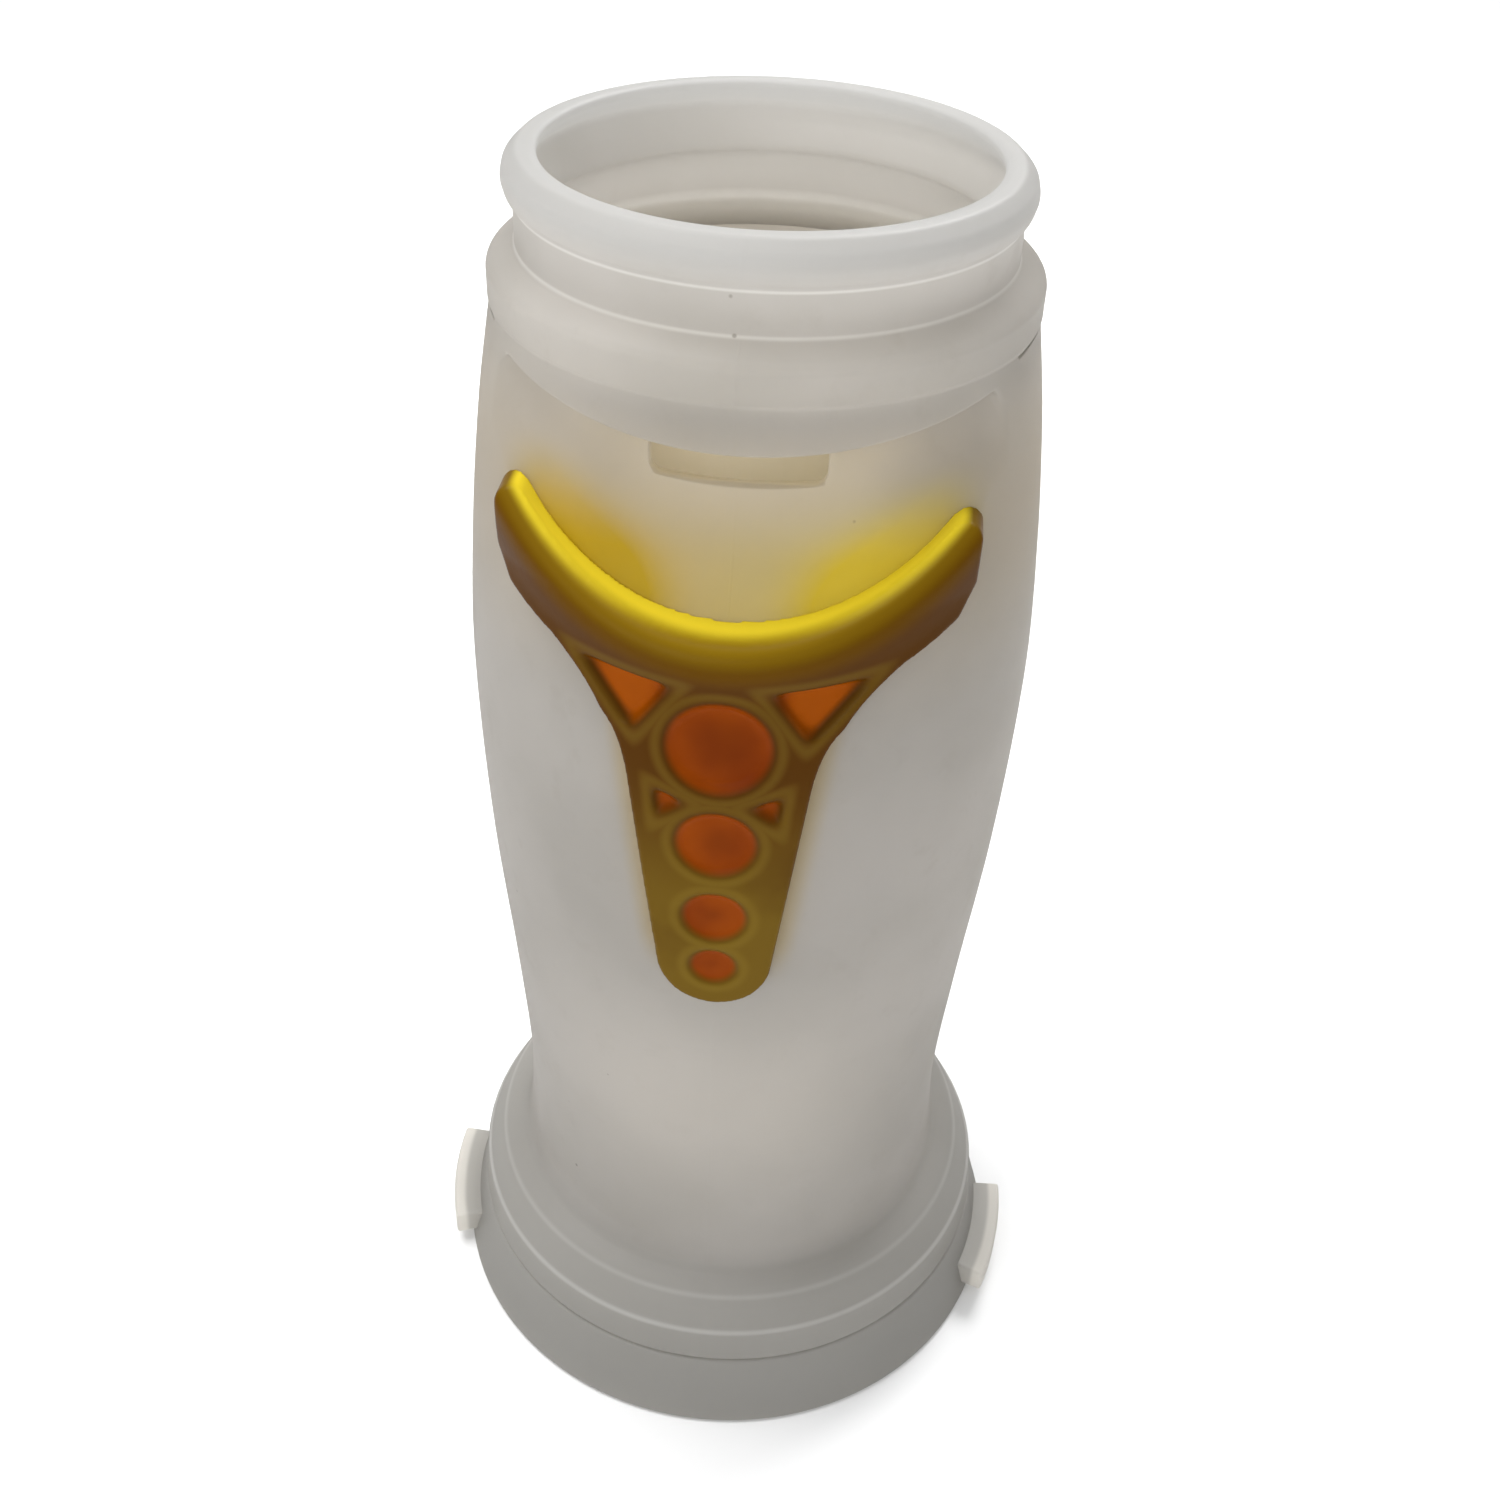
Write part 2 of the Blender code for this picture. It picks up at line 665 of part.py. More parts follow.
def build_cover(collection, cutters):
    bottom = CUP_TOP + GAP
    top = bottom + COVER_THICKNESS
    plug = CUP_RADIUS - CUP_WALL - GAP
    knob_top = top + COVER_KNOB_HEIGHT
    profile = [
        (0, knob_top),
        (COVER_KNOB_RADIUS - 0.8 * MM, knob_top),
        (COVER_KNOB_RADIUS, knob_top - 0.8 * MM),
        (COVER_KNOB_RADIUS - 0.6 * MM, top),
        (CUP_RADIUS, top),
        (CUP_RADIUS, bottom),
        (plug, bottom),
        (plug, bottom - COVER_PLUG_DEPTH),
        (plug - 1.2 * MM, bottom - COVER_PLUG_DEPTH),
        (plug - 1.2 * MM, bottom),
        (0, bottom),
    ]
    cover = turned("bait_cover", profile, collection, COARSE_STEPS, closed=False)
    for i in range(VENT_COUNT):
        angle = math.tau * (i + 0.5) / VENT_COUNT
        place = (VENT_CIRCLE * math.cos(angle), VENT_CIRCLE * math.sin(angle), bottom)
        combine(cover, build_vent("vent_%d" % (i + 1), place, cutters), "DIFFERENCE")
    return cover


def build_vent(name, place, cutters):
    mesh = bpy.data.meshes.new(name)
    shape = bmesh.new()
    bmesh.ops.create_cone(
        shape,
        cap_ends=True,
        segments=12,
        radius1=VENT_RADIUS,
        radius2=VENT_RADIUS,
        depth=8 * MM,
    )
    shape.to_mesh(mesh)
    shape.free()
    vent = bpy.data.objects.new(name, mesh)
    vent.location = place
    cutters.objects.link(vent)
    return vent


def new_pivot(name, collection):
    """An empty on the trap's vertical axis, which a moving group hangs from."""
    pivot = bpy.data.objects.new(name, None)
    pivot.empty_display_size = 20 * MM
    collection.objects.link(pivot)
    return pivot


def build():
    clear_scene()
    trap = new_collection("Wasp trap")
    cutters = new_collection("Cutters")
    frosted = new_material("frosted body", (0.78, 0.77, 0.74), 0.45, 0.55)
    yellow = new_material("yellow perch", (0.62, 0.45, 0.03), 0.35)
    inner = new_material("clear inner", (0.82, 0.83, 0.82), 0.4, 0.6)
    rubber = new_material("seal rubber", (0.08, 0.08, 0.08), 0.7)
    felt = new_material("bait felt", (0.70, 0.66, 0.55), 0.95)

    base = new_pivot("base", trap)
    housing = new_pivot("housing_twist", trap)
    cup = new_pivot("cup_lift", trap)
    cover = new_pivot("cover_lift", trap)
    housing.parent = base
    cup.parent = base
    cover.parent = cup

    finish_part(build_base_ring(trap, cutters), frosted, base)
    finish_part(build_seal(trap), rubber, base)
    finish_part(build_housing(trap, cutters), frosted, housing)
    finish_part(build_perch(trap, cutters), yellow, housing)
    finish_part(build_baffle(trap, cutters), inner, housing)
    finish_part(build_cup(trap), inner, cup)
    finish_part(build_pad(trap), felt, cup)
    finish_part(build_cover(trap, cutters), inner, cover)


build()
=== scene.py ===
import json
import math

import bmesh
import bpy
from mathutils import Euler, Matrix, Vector


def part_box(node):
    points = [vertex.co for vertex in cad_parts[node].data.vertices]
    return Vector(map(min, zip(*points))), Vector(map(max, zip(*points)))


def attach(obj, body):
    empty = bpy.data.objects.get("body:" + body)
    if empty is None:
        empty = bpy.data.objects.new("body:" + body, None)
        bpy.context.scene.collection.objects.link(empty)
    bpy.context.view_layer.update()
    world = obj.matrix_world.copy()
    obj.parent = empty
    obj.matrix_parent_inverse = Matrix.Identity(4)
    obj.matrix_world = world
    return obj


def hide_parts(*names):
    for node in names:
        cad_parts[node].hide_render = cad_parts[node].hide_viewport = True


# Wasp trap: the looks. Metres, +Z up, the entrance porch faces -Y.
MM = 0.001

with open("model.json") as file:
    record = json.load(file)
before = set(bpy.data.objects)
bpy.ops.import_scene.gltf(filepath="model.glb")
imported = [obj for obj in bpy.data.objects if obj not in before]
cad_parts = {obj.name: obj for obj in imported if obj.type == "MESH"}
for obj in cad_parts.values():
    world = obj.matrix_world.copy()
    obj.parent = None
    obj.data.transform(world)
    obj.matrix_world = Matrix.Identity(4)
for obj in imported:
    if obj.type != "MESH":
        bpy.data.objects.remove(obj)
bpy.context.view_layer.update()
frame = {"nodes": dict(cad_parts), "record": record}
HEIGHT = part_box("trap_body")[1][2]
BASE_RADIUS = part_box("base_ring")[1][1]
SEAM_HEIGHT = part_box("base_ring")[1][2]
BODY_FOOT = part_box("trap_body")[0][2]

# Housing. The stations are (height, outer radius) down its smooth side.
WALL = 1.8 * MM
COLUMNS = 420
GAP = 0.3 * MM
COLLAR_FOOT = HEIGHT - 18.5 * MM
SIDE_STATIONS = [
    (COLLAR_FOOT, 35.4 * MM),
    (168.0 * MM, 37.5 * MM),
    (150.0 * MM, 39.4 * MM),
    (130.0 * MM, 40.5 * MM),
    (100.0 * MM, 39.6 * MM),
    (70.0 * MM, 37.2 * MM),
    (46.0 * MM, 35.7 * MM),
    (30.5 * MM, 36.2 * MM),
]

# Porch: a dish scooped out of the side, drawn about a centre in the front view.
PORCH_FLOOR = 149.0 * MM
PORCH_FLOOR_LAP = 0.6 * MM
PORCH_WALL_RADIUS = 31.2 * MM
DISH_CENTRE = 190.7 * MM
DISH_EDGE = 41.7 * MM
DISH_FLAT = 22.7 * MM
DISH_SWEEP = 1.7
PORCH_END = math.radians(61.0)
PORCH_END_BLEND = math.radians(6.0)
PORCH_INSIDE_LAP = math.radians(2.6)
PORCH_ROWS = 34
LIP_HEIGHT = 176.1 * MM
LIP_ARC_RADIUS = 145.0 * MM
LIP_WIDEST = math.radians(75.0)
LIP_BAND = 1.6 * MM
COLLAR_ROWS = 4
BARREL_ROWS = 48
SLOT_MARGIN = Vector((1.2, 0, 0.5)) * MM
SLOT_CORNER = 1.5 * MM

# Perch: a nose along the dish's lower edge, two arms and a stem, as seen from the front.
PERCH_ARC_RADIUS = 36.3 * MM
PERCH_LOWER_RADIUS = 46.4 * MM
PERCH_TIP_X = 26.2 * MM
PERCH_TIP_RADIUS = 2.2 * MM
NOSE_WIDTH = 5.2 * MM
NOSE_DEPTH = 4.4 * MM
NOSE_THINNING = 0.22
NOSE_ROLL = 2.4 * MM
NOSE_ROLL_DEPTH = 2.6 * MM
ARM_END_X = 28.2 * MM
ARM_END_CORNER = (29.9 * MM, 158.0 * MM)
ARM_BEND_X = 22.0 * MM
ARM_ROOT = (15.4 * MM, 141.8 * MM)
STEM_TOP = (11.8 * MM, 132.0 * MM)
STEM_END_CENTRE = 101.0 * MM
STEM_END_RADIUS = 8.0 * MM
STEM_DEPTH_TOP = 2.7 * MM
STEM_DEPTH_END = 2.0 * MM
PERCH_HALF_ANGLE = math.radians(60.0)
PERCH_BOTTOM = 90.0 * MM
PERCH_TOP = 171.0 * MM
PERCH_FRONT_TOP = 157.0 * MM
PERCH_VOXEL = 0.26 * MM
PERCH_SMOOTHING = 12

# Pockets in the perch: round ones as (height, radius), three-cornered ones as (x, height) corners.
POCKET_FLOOR = 1.0 * MM
ROUND_POCKET_WALL = 0.30
CORNER_POCKET_WALL = 1.0 * MM
ROUND_POCKETS = [
    (138.9 * MM, 7.4 * MM),
    (123.5 * MM, 5.9 * MM),
    (110.3 * MM, 4.9 * MM),
    (100.6 * MM, 3.7 * MM),
]
POCKET_ROUNDING = 2.6 * MM
CORNER_POCKETS = [
    [(5.2 * MM, 147.9 * MM), (18.6 * MM, 149.3 * MM), (11.0 * MM, 139.6 * MM)],
    [(3.2 * MM, 130.2 * MM), (8.7 * MM, 132.5 * MM), (8.1 * MM, 126.4 * MM)],
]

# Base ring and its grip lugs
BASE_COLUMNS = 256
BASE_SHARP = math.radians(40.0)
LUG_FORWARD = math.radians(8.5)
LUG_HALF_ANGLE = math.radians(12.0)
LUG_STEPS = 16
LUG_ROOT_DEPTH = 2.6 * MM
LUG_LOW = 2.4 * MM
LUG_HIGH = 7.0 * MM
LUG_EDGE = 0.5 * MM

# Heights of the fine edges where highlights are painted on the frosted plastic
BEAD_EDGE = HEIGHT - 5.9 * MM
NECK_FOOT_EDGE = HEIGHT - 11.2 * MM
FOOT_STEP_EDGE = 19.2 * MM
FOOT_TOP_EDGE = 24.6 * MM


# ---------------------------------------------------------------- shape helpers


def new_object(name, mesh):
    obj = bpy.data.objects.new(name, mesh)
    bpy.context.scene.collection.objects.link(obj)
    return obj


def rounded(points, radius, steps=4):
    """An open polyline with every inner corner rounded off."""
    result = [points[0]]
    for before, corner, after in zip(points, points[1:], points[2:]):
        a = Vector(before) - Vector(corner)
        b = Vector(after) - Vector(corner)
        cut = min(radius, 0.45 * a.length, 0.45 * b.length)
        start = Vector(corner) + a.normalized() * cut
        end = Vector(corner) + b.normalized() * cut
        for i in range(steps + 1):
            t = i / steps
            point = start * (1 - t) ** 2 + Vector(corner) * 2 * t * (1 - t) + end * t * t
            result.append(tuple(point))
    return result + [points[-1]]


def ring_surface(name, path_at, columns):
    """A closed ring from a closed (radius, height) path, which may change with the azimuth."""
    angles = [math.tau * i / columns - math.pi for i in range(columns)]
    paths = [path_at(angle) for angle in angles]
    rows = len(paths[0])
    points = []
    for angle, path in zip(angles, paths):
        for radius, height in path:
            points.append((radius * math.sin(angle), -radius * math.cos(angle), height))
    faces = []
    for i in range(columns):
        here = i * rows
        there = (i + 1) % columns * rows
        for k in range(rows):
            after = (k + 1) % rows
            faces.append((here + k, here + after, there + after, there + k))
    mesh = bpy.data.meshes.new(name)
    mesh.from_pydata(points, [], faces)
    return outward(new_object(name, mesh))


def outward(obj):
    """Turns every face outwards and shades the piece smooth."""
    shape = bmesh.new()
    shape.from_mesh(obj.data)
    bmesh.ops.recalc_face_normals(shape, faces=shape.faces)
    shape.to_mesh(obj.data)
    shape.free()
    obj.data.shade_smooth()
    return obj


def apply_modifiers(obj):
    """Puts the modified mesh in place of the first one."""
    graph = bpy.context.evaluated_depsgraph_get()
    made = bpy.data.meshes.new_from_object(obj.evaluated_get(graph))
    obj.modifiers.clear()
    old = obj.data
    obj.data = made
    bpy.data.meshes.remove(old)
    return obj


def boolean(obj, other, operation):
    """Cuts, joins or keeps what two pieces share, and removes the second."""
    modifier = obj.modifiers.new("Boolean", "BOOLEAN")
    modifier.operation = operation
    modifier.solver = "EXACT"
    modifier.object = other
    apply_modifiers(obj)
    bpy.data.objects.remove(other, do_unlink=True)
    return obj


def prism(name, outline, near, far):
    """A solid with the given front-view outline of (x, z) points, from y = near to y = far."""
    mesh = bpy.data.meshes.new(name)
    shape = bmesh.new()
    face = shape.faces.new([shape.verts.new((x, near, z)) for x, z in outline])
    swept = bmesh.ops.extrude_face_region(shape, geom=[face])
    corners = [item for item in swept["geom"] if isinstance(item, bmesh.types.BMVert)]
    bmesh.ops.translate(shape, verts=corners, vec=Vector((0, far - near, 0)))
    bmesh.ops.recalc_face_normals(shape, faces=shape.faces)
    shape.to_mesh(mesh)
    shape.free()
    return new_object(name, mesh)


def arc(centre, radius, start, end, count):
    """Points on an arc of a circle, from the start angle to the end angle in degrees."""
    points = []
    for i in range(count + 1):
        angle = math.radians(start + (end - start) * i / count)
        points.append((centre[0] + radius * math.cos(angle), centre[1] + radius * math.sin(angle)))
    return points


def smooth_step(low, high, value):
    """0 below low, 1 above high, and a smooth rise between them."""
    t = min(max((value - low) / (high - low), 0.0), 1.0)
    return t * t * (3 - 2 * t)


# ---------------------------------------------------------------- housing


def side_radius(height):
    """Outer radius of the housing's smooth side: a cubic Hermite curve through the stations."""
    stations = sorted(SIDE_STATIONS)
    if height <= stations[0][0]:
        return stations[0][1]
    if height >= stations[-1][0]:
        return stations[-1][1]
    index = min(max(i for i, s in enumerate(stations) if s[0] <= height), len(stations) - 2)

    def slope(i):
        low = stations[max(i - 1, 0)]
        high = stations[min(i + 1, len(stations) - 1)]
        return (high[1] - low[1]) / (high[0] - low[0])

    (z0, r0), (z1, r1) = stations[index], stations[index + 1]
    span = z1 - z0
    t = (height - z0) / span
    return (
        (2 * t**3 - 3 * t**2 + 1) * r0
        + (t**3 - 2 * t**2 + t) * span * slope(index)
        + (3 * t**2 - 2 * t**3) * r1
        + (t**3 - t**2) * span * slope(index + 1)
    )


def dish_distance(angle, height):
    """Distance in the front view from the centre that the porch's dish is drawn about."""
    return math.hypot(side_radius(height) * math.sin(angle), height - DISH_CENTRE)


def porch_radius(angle, height):
    """Radius of the porch's scooped wall: upright under the lip, then sweeping out to the side."""
    run = (DISH_EDGE - dish_distance(angle, height)) / (DISH_EDGE - DISH_FLAT)
    run = min(max(run, 0.0), 1.0)
    outer = side_radius(PORCH_FLOOR) + PORCH_FLOOR_LAP
    return PORCH_WALL_RADIUS + (outer - PORCH_WALL_RADIUS) * (1 - run) ** DISH_SWEEP


def lip_height(angle):
    """Height of the lip's lower edge, which rises towards its ends in an arc."""
    x = side_radius(LIP_HEIGHT) * math.sin(min(abs(angle), LIP_WIDEST))
    return LIP_HEIGHT + LIP_ARC_RADIUS - math.sqrt(LIP_ARC_RADIUS**2 - x * x)


def porch_path(angle, lip, inset):
    """(radius, height) down the lip, under it, down the scoop and out to the side, inwards by inset."""
    lip += inset
    top = lip + LIP_BAND

    def wall(height):
        return min(porch_radius(angle, height - 0.4 * inset), side_radius(height) - 0.02 * MM) - inset

    edge = rounded(
        [
            (side_radius(top) - inset, top),
            (side_radius(lip) - inset, lip),
            (wall(lip) - 0.02 * MM, lip + 0.7 * MM),
            (wall(lip - 4 * MM), lip - 4 * MM),
        ],
        0.5 * MM,
        5,
    )
    start = edge[-1][1]
    floor = PORCH_FLOOR - inset
    heights = [start + (floor - start) * i / PORCH_ROWS for i in range(1, PORCH_ROWS + 1)]
    return edge + [(wall(height), height) for height in heights]


def plain_path(lip, inset, count):
    """The same stretch where there is no porch."""
    top = lip + inset + LIP_BAND
    floor = PORCH_FLOOR - inset
    heights = [top + (floor - top) * i / (count - 1) for i in range(count)]
    return [(side_radius(height) - inset, height) for height in heights]


def side_path(angle, inset, end):
    """Outer or inner side of the housing at this azimuth, from under the collar to the waist."""
    lip = lip_height(angle)
    full = porch_path(angle, lip, inset)
    flat = plain_path(lip, inset, len(full))
    share = 1 - smooth_step(end - PORCH_END_BLEND, end, abs(angle))
    middle = []
    for (r0, z0), (r1, z1) in zip(flat, full):
        middle.append((r0 + (r1 - r0) * share, z0 + (z1 - z0) * share))
    top = middle[0][1]
    bottom = middle[-1][1]
    above = []
    for i in range(COLLAR_ROWS):
        height = COLLAR_FOOT + (top - COLLAR_FOOT) * i / COLLAR_ROWS
        above.append((side_radius(height) - inset, height))
    below = []
    foot = SIDE_STATIONS[-1][0]
    for i in range(1, BARREL_ROWS + 1):
        height = bottom + (foot - bottom) * i / BARREL_ROWS
        below.append((side_radius(height) - inset, height))
    return above + middle + below


def housing_path():
    """The neck and foot of the housing, which are the same all round, as rounded polylines."""
    neck = rounded(
        [
            (30.0 * MM, HEIGHT),
            (31.3 * MM, HEIGHT),
            (32.9 * MM, HEIGHT - 1.5 * MM),
            (33.3 * MM, HEIGHT - 3.2 * MM),
            (32.8 * MM, HEIGHT - 4.9 * MM),
            (31.9 * MM, HEIGHT - 5.6 * MM),
            (31.9 * MM, HEIGHT - 11.2 * MM),
            (32.3 * MM, HEIGHT - 11.6 * MM),
            (34.7 * MM, HEIGHT - 13.0 * MM),
            (35.4 * MM, HEIGHT - 13.7 * MM),
            (35.6 * MM, HEIGHT - 14.2 * MM),
            (35.6 * MM, HEIGHT - 17.8 * MM),
            (35.4 * MM, COLLAR_FOOT + 0.3 * MM),
        ],
        0.5 * MM,
    )
    foot = rounded(
        [
            (36.3 * MM, 29.9 * MM),
            (37.2 * MM, 26.6 * MM),
            (40.9 * MM, 25.2 * MM),
            (42.4 * MM, 23.6 * MM),
            (44.2 * MM, 19.5 * MM),
            (44.9 * MM, 18.9 * MM),
            (45.4 * MM, SEAM_HEIGHT + GAP + 0.3 * MM),
            (45.1 * MM, SEAM_HEIGHT + GAP),
            (43.1 * MM, SEAM_HEIGHT + GAP),
            (43.1 * MM, BODY_FOOT),
            (41.3 * MM, BODY_FOOT),
        ],
        1.1 * MM,
    )
    foot_inside = rounded(
        [
            (41.3 * MM, BODY_FOOT),
            (41.3 * MM, SEAM_HEIGHT),
            (42.0 * MM, 19.4 * MM),
            (39.8 * MM, 22.9 * MM),
            (36.0 * MM, 24.2 * MM),
            (34.4 * MM, 29.9 * MM),
        ],
        1.0 * MM,
    )
    neck_inside = rounded(
        [
            (33.5 * MM, COLLAR_FOOT - 3.0 * MM),
            (32.6 * MM, COLLAR_FOOT + 1.0 * MM),
            (31.0 * MM, HEIGHT - 15.8 * MM),
            (30.6 * MM, HEIGHT - 14.4 * MM),
            (30.5 * MM, HEIGHT - 10.2 * MM),
            (29.0 * MM, HEIGHT - 9.4 * MM),
            (28.9 * MM, HEIGHT - 8.6 * MM),
            (29.5 * MM, HEIGHT - 5.7 * MM),
            (30.6 * MM, HEIGHT - 3.4 * MM),
            (28.7 * MM, HEIGHT - 1.0 * MM),
            (28.7 * MM, HEIGHT - 0.3 * MM),
            (29.1 * MM, HEIGHT),
        ],
        0.7 * MM,
    )
    return neck, foot, foot_inside, neck_inside


def build_housing():
    """The whole housing as one turned shell with the porch pressed in, and the slot cut through it."""
    neck, foot, foot_inside, neck_inside = housing_path()

    def path_at(angle):
        outer = side_path(angle, 0.0, PORCH_END)
        inner = side_path(angle, WALL, PORCH_END + PORCH_INSIDE_LAP)
        return neck + outer + foot + foot_inside[1:] + inner[::-1] + neck_inside

    housing = ring_surface("frosted_housing", path_at, COLUMNS)
    slot_low, slot_high = frame_slot()
    right = slot_high[0] - SLOT_CORNER
    low = slot_low[2] + SLOT_CORNER
    high = slot_high[2] - SLOT_CORNER
    outline = (
        arc((right, low), SLOT_CORNER, -90, 0, 5)
        + arc((right, high), SLOT_CORNER, 0, 90, 5)
        + arc((-right, high), SLOT_CORNER, 90, 180, 5)
        + arc((-right, low), SLOT_CORNER, 180, 270, 5)
    )
    boolean(housing, prism("slot", outline, -60 * MM, -22 * MM), "DIFFERENCE")
    housing.data.shade_smooth()
    return housing


def frame_slot():
    """The entry slot's corners, a margin outside the opening that the record states."""
    openings = {o["name"]: o["box_m"] for o in frame["record"]["physics"]["openings"]}
    low, high = openings["entry_slot"]
    return Vector(low) - SLOT_MARGIN, Vector(high) + SLOT_MARGIN


# ---------------------------------------------------------------- perch


def perch_tip():
    """The rounded end of the nose on the right."""
    tip_angle = math.asin(PERCH_TIP_X / PERCH_ARC_RADIUS)
    reach = PERCH_ARC_RADIUS + PERCH_TIP_RADIUS
    centre = (reach * math.sin(tip_angle), DISH_CENTRE - reach * math.cos(tip_angle))
    return arc(centre, PERCH_TIP_RADIUS, 0, math.degrees(tip_angle) + 90, 14)


def dish_arc(radius, start_x, end_x, count):
    """Part of a circle about the dish's centre, from one x to another below it."""
    start = math.degrees(math.asin(start_x / radius)) - 90
    end = math.degrees(math.asin(end_x / radius)) - 90
    return arc((0, DISH_CENTRE), radius, start, end, count)


def curve_between(start, control, end, count):
    """The inner points of a quadratic Bezier curve."""
    points = []
    for i in range(1, count):
        t = i / count
        sides = zip(start, control, end)
        points.append(tuple((1 - t) ** 2 * a + 2 * t * (1 - t) * b + t * t * c for a, b, c in sides))
    return points


def perch_outline():
    """The perch seen from the front, as (x, z) points: the right half and its mirror image."""
    half = arc((0, STEM_END_CENTRE), STEM_END_RADIUS, -90, -4, 14) + [STEM_TOP]
    armpit = (STEM_TOP[0] + 0.9 * MM, ARM_ROOT[1] - 2.6 * MM)
    half += curve_between(STEM_TOP, armpit, ARM_ROOT, 6) + [ARM_ROOT]
    lower = dish_arc(PERCH_LOWER_RADIUS, ARM_BEND_X, ARM_END_X, 8)
    bend = (ARM_ROOT[0] + 2.1 * MM, ARM_ROOT[1] + 4.4 * MM)
    half += curve_between(ARM_ROOT, bend, lower[0], 6) + lower
    half += [ARM_END_CORNER] + perch_tip() + dish_arc(PERCH_ARC_RADIUS, PERCH_TIP_X, 0, 30)[1:]
    left = [(-x, z) for x, z in reversed(half) if x > 0.05 * MM]
    return half + left


def smooth_least(first, second, reach):
    """The smaller of two numbers, with the change from one to the other rounded."""
    share = max(reach - abs(first - second), 0.0) / reach
    return min(first, second) - share ** 3 * reach / 6


def corner_distance(x, z, corners):
    """Signed distance inside a three-cornered pocket with rounded corners: positive inside."""
    inside = 1e9
    middle = (sum(c[0] for c in corners) / 3, sum(c[1] for c in corners) / 3)
    for a, b in zip(corners, corners[1:] + corners[:1]):
        nx, nz = b[1] - a[1], a[0] - b[0]
        length = math.hypot(nx, nz)
        towards = ((x - a[0]) * nx + (z - a[1]) * nz) / length
        if (middle[0] - a[0]) * nx + (middle[1] - a[1]) * nz < 0:
            towards = -towards
        inside = smooth_least(inside, towards, POCKET_ROUNDING)
    return inside


def pocket_depth(x, z):
    """Share of the plate's depth that the pockets take away at this place, 0 to 1."""
    deepest = 0.0
    for height, radius in ROUND_POCKETS:
        inside = radius - math.hypot(x, z - height)
        deepest = max(deepest, smooth_step(0.0, ROUND_POCKET_WALL * radius, inside))
    for corners in CORNER_POCKETS:
        inside = corner_distance(abs(x), z, corners)
        deepest = max(deepest, smooth_step(0.0, CORNER_POCKET_WALL, inside))
    return deepest


def perch_front(x, z):
    """How far the perch's front stands out from the housing's side."""
    share = min(max((z - STEM_END_CENTRE) / (ARM_ROOT[1] - STEM_END_CENTRE), -0.2), 1.0)
    plate = STEM_DEPTH_END + (STEM_DEPTH_TOP - STEM_DEPTH_END) * share
    below_edge = math.hypot(x, z - DISH_CENTRE) - PERCH_ARC_RADIUS
    nose = 1 - smooth_step(0.5 * NOSE_WIDTH, 1.75 * NOSE_WIDTH, below_edge)
    thick = NOSE_DEPTH * (1 - NOSE_THINNING * (x / PERCH_TIP_X) ** 2)
    depth = plate + (thick - plate) * nose
    if below_edge < NOSE_ROLL:
        run = 1 - max(below_edge, 0.0) / NOSE_ROLL
        depth -= NOSE_ROLL_DEPTH * (1 - math.sqrt(max(1 - run * run, 0.0)))
    floor = GAP + POCKET_FLOOR
    return depth - (depth - floor) * pocket_depth(x, z)


def rest_radius(angle, height):
    """Radius of the housing's surface that the perch lies against."""
    if height < PORCH_FLOOR:
        return side_radius(height)
    return min(porch_radius(angle, height), side_radius(height))


def build_perch():
    """A slab between the housing and a modelled front, cut to the perch's outline and softened."""
    columns, rows = 300, 270
    shape = bmesh.new()
    sheets = []
    for front in (True, False):
        grid = []
        for i in range(columns + 1):
            angle = -PERCH_HALF_ANGLE + 2 * PERCH_HALF_ANGLE * i / columns
            line = []
            for k in range(rows + 1):
                z = PERCH_BOTTOM + (PERCH_TOP - PERCH_BOTTOM) * k / rows
                if front:
                    base = side_radius(min(z, PERCH_FRONT_TOP))
                    radius = base + perch_front(base * math.sin(angle), z)
                else:
                    radius = rest_radius(angle, z) + 0.5 * GAP
                place = (radius * math.sin(angle), -radius * math.cos(angle), z)
                line.append(shape.verts.new(place))
            grid.append(line)
        sheets.append(grid)
    outer, inner = sheets
    for i in range(columns):
        for k in range(rows):
            for grid in sheets:
                shape.faces.new((grid[i][k], grid[i + 1][k], grid[i + 1][k + 1], grid[i][k + 1]))
    for i in range(columns):
        for k in (0, rows):
            shape.faces.new((outer[i][k], outer[i + 1][k], inner[i + 1][k], inner[i][k]))
    for k in range(rows):
        for i in (0, columns):
            shape.faces.new((outer[i][k], outer[i][k + 1], inner[i][k + 1], inner[i][k]))
    bmesh.ops.recalc_face_normals(shape, faces=shape.faces)
    mesh = bpy.data.meshes.new("yellow_perch")
    shape.to_mesh(mesh)
    shape.free()
    perch = new_object("yellow_perch", mesh)
    boolean(perch, prism("outline", perch_outline(), -70 * MM, -8 * MM), "INTERSECT")
    remesh = perch.modifiers.new("Remesh", "REMESH")
    remesh.mode = "VOXEL"
    remesh.voxel_size = PERCH_VOXEL
    soften = perch.modifiers.new("Soften", "SMOOTH")
    soften.factor = 0.5
    soften.iterations = PERCH_SMOOTHING
    apply_modifiers(perch)
    perch.data.shade_smooth()
    return perch


# ---------------------------------------------------------------- base


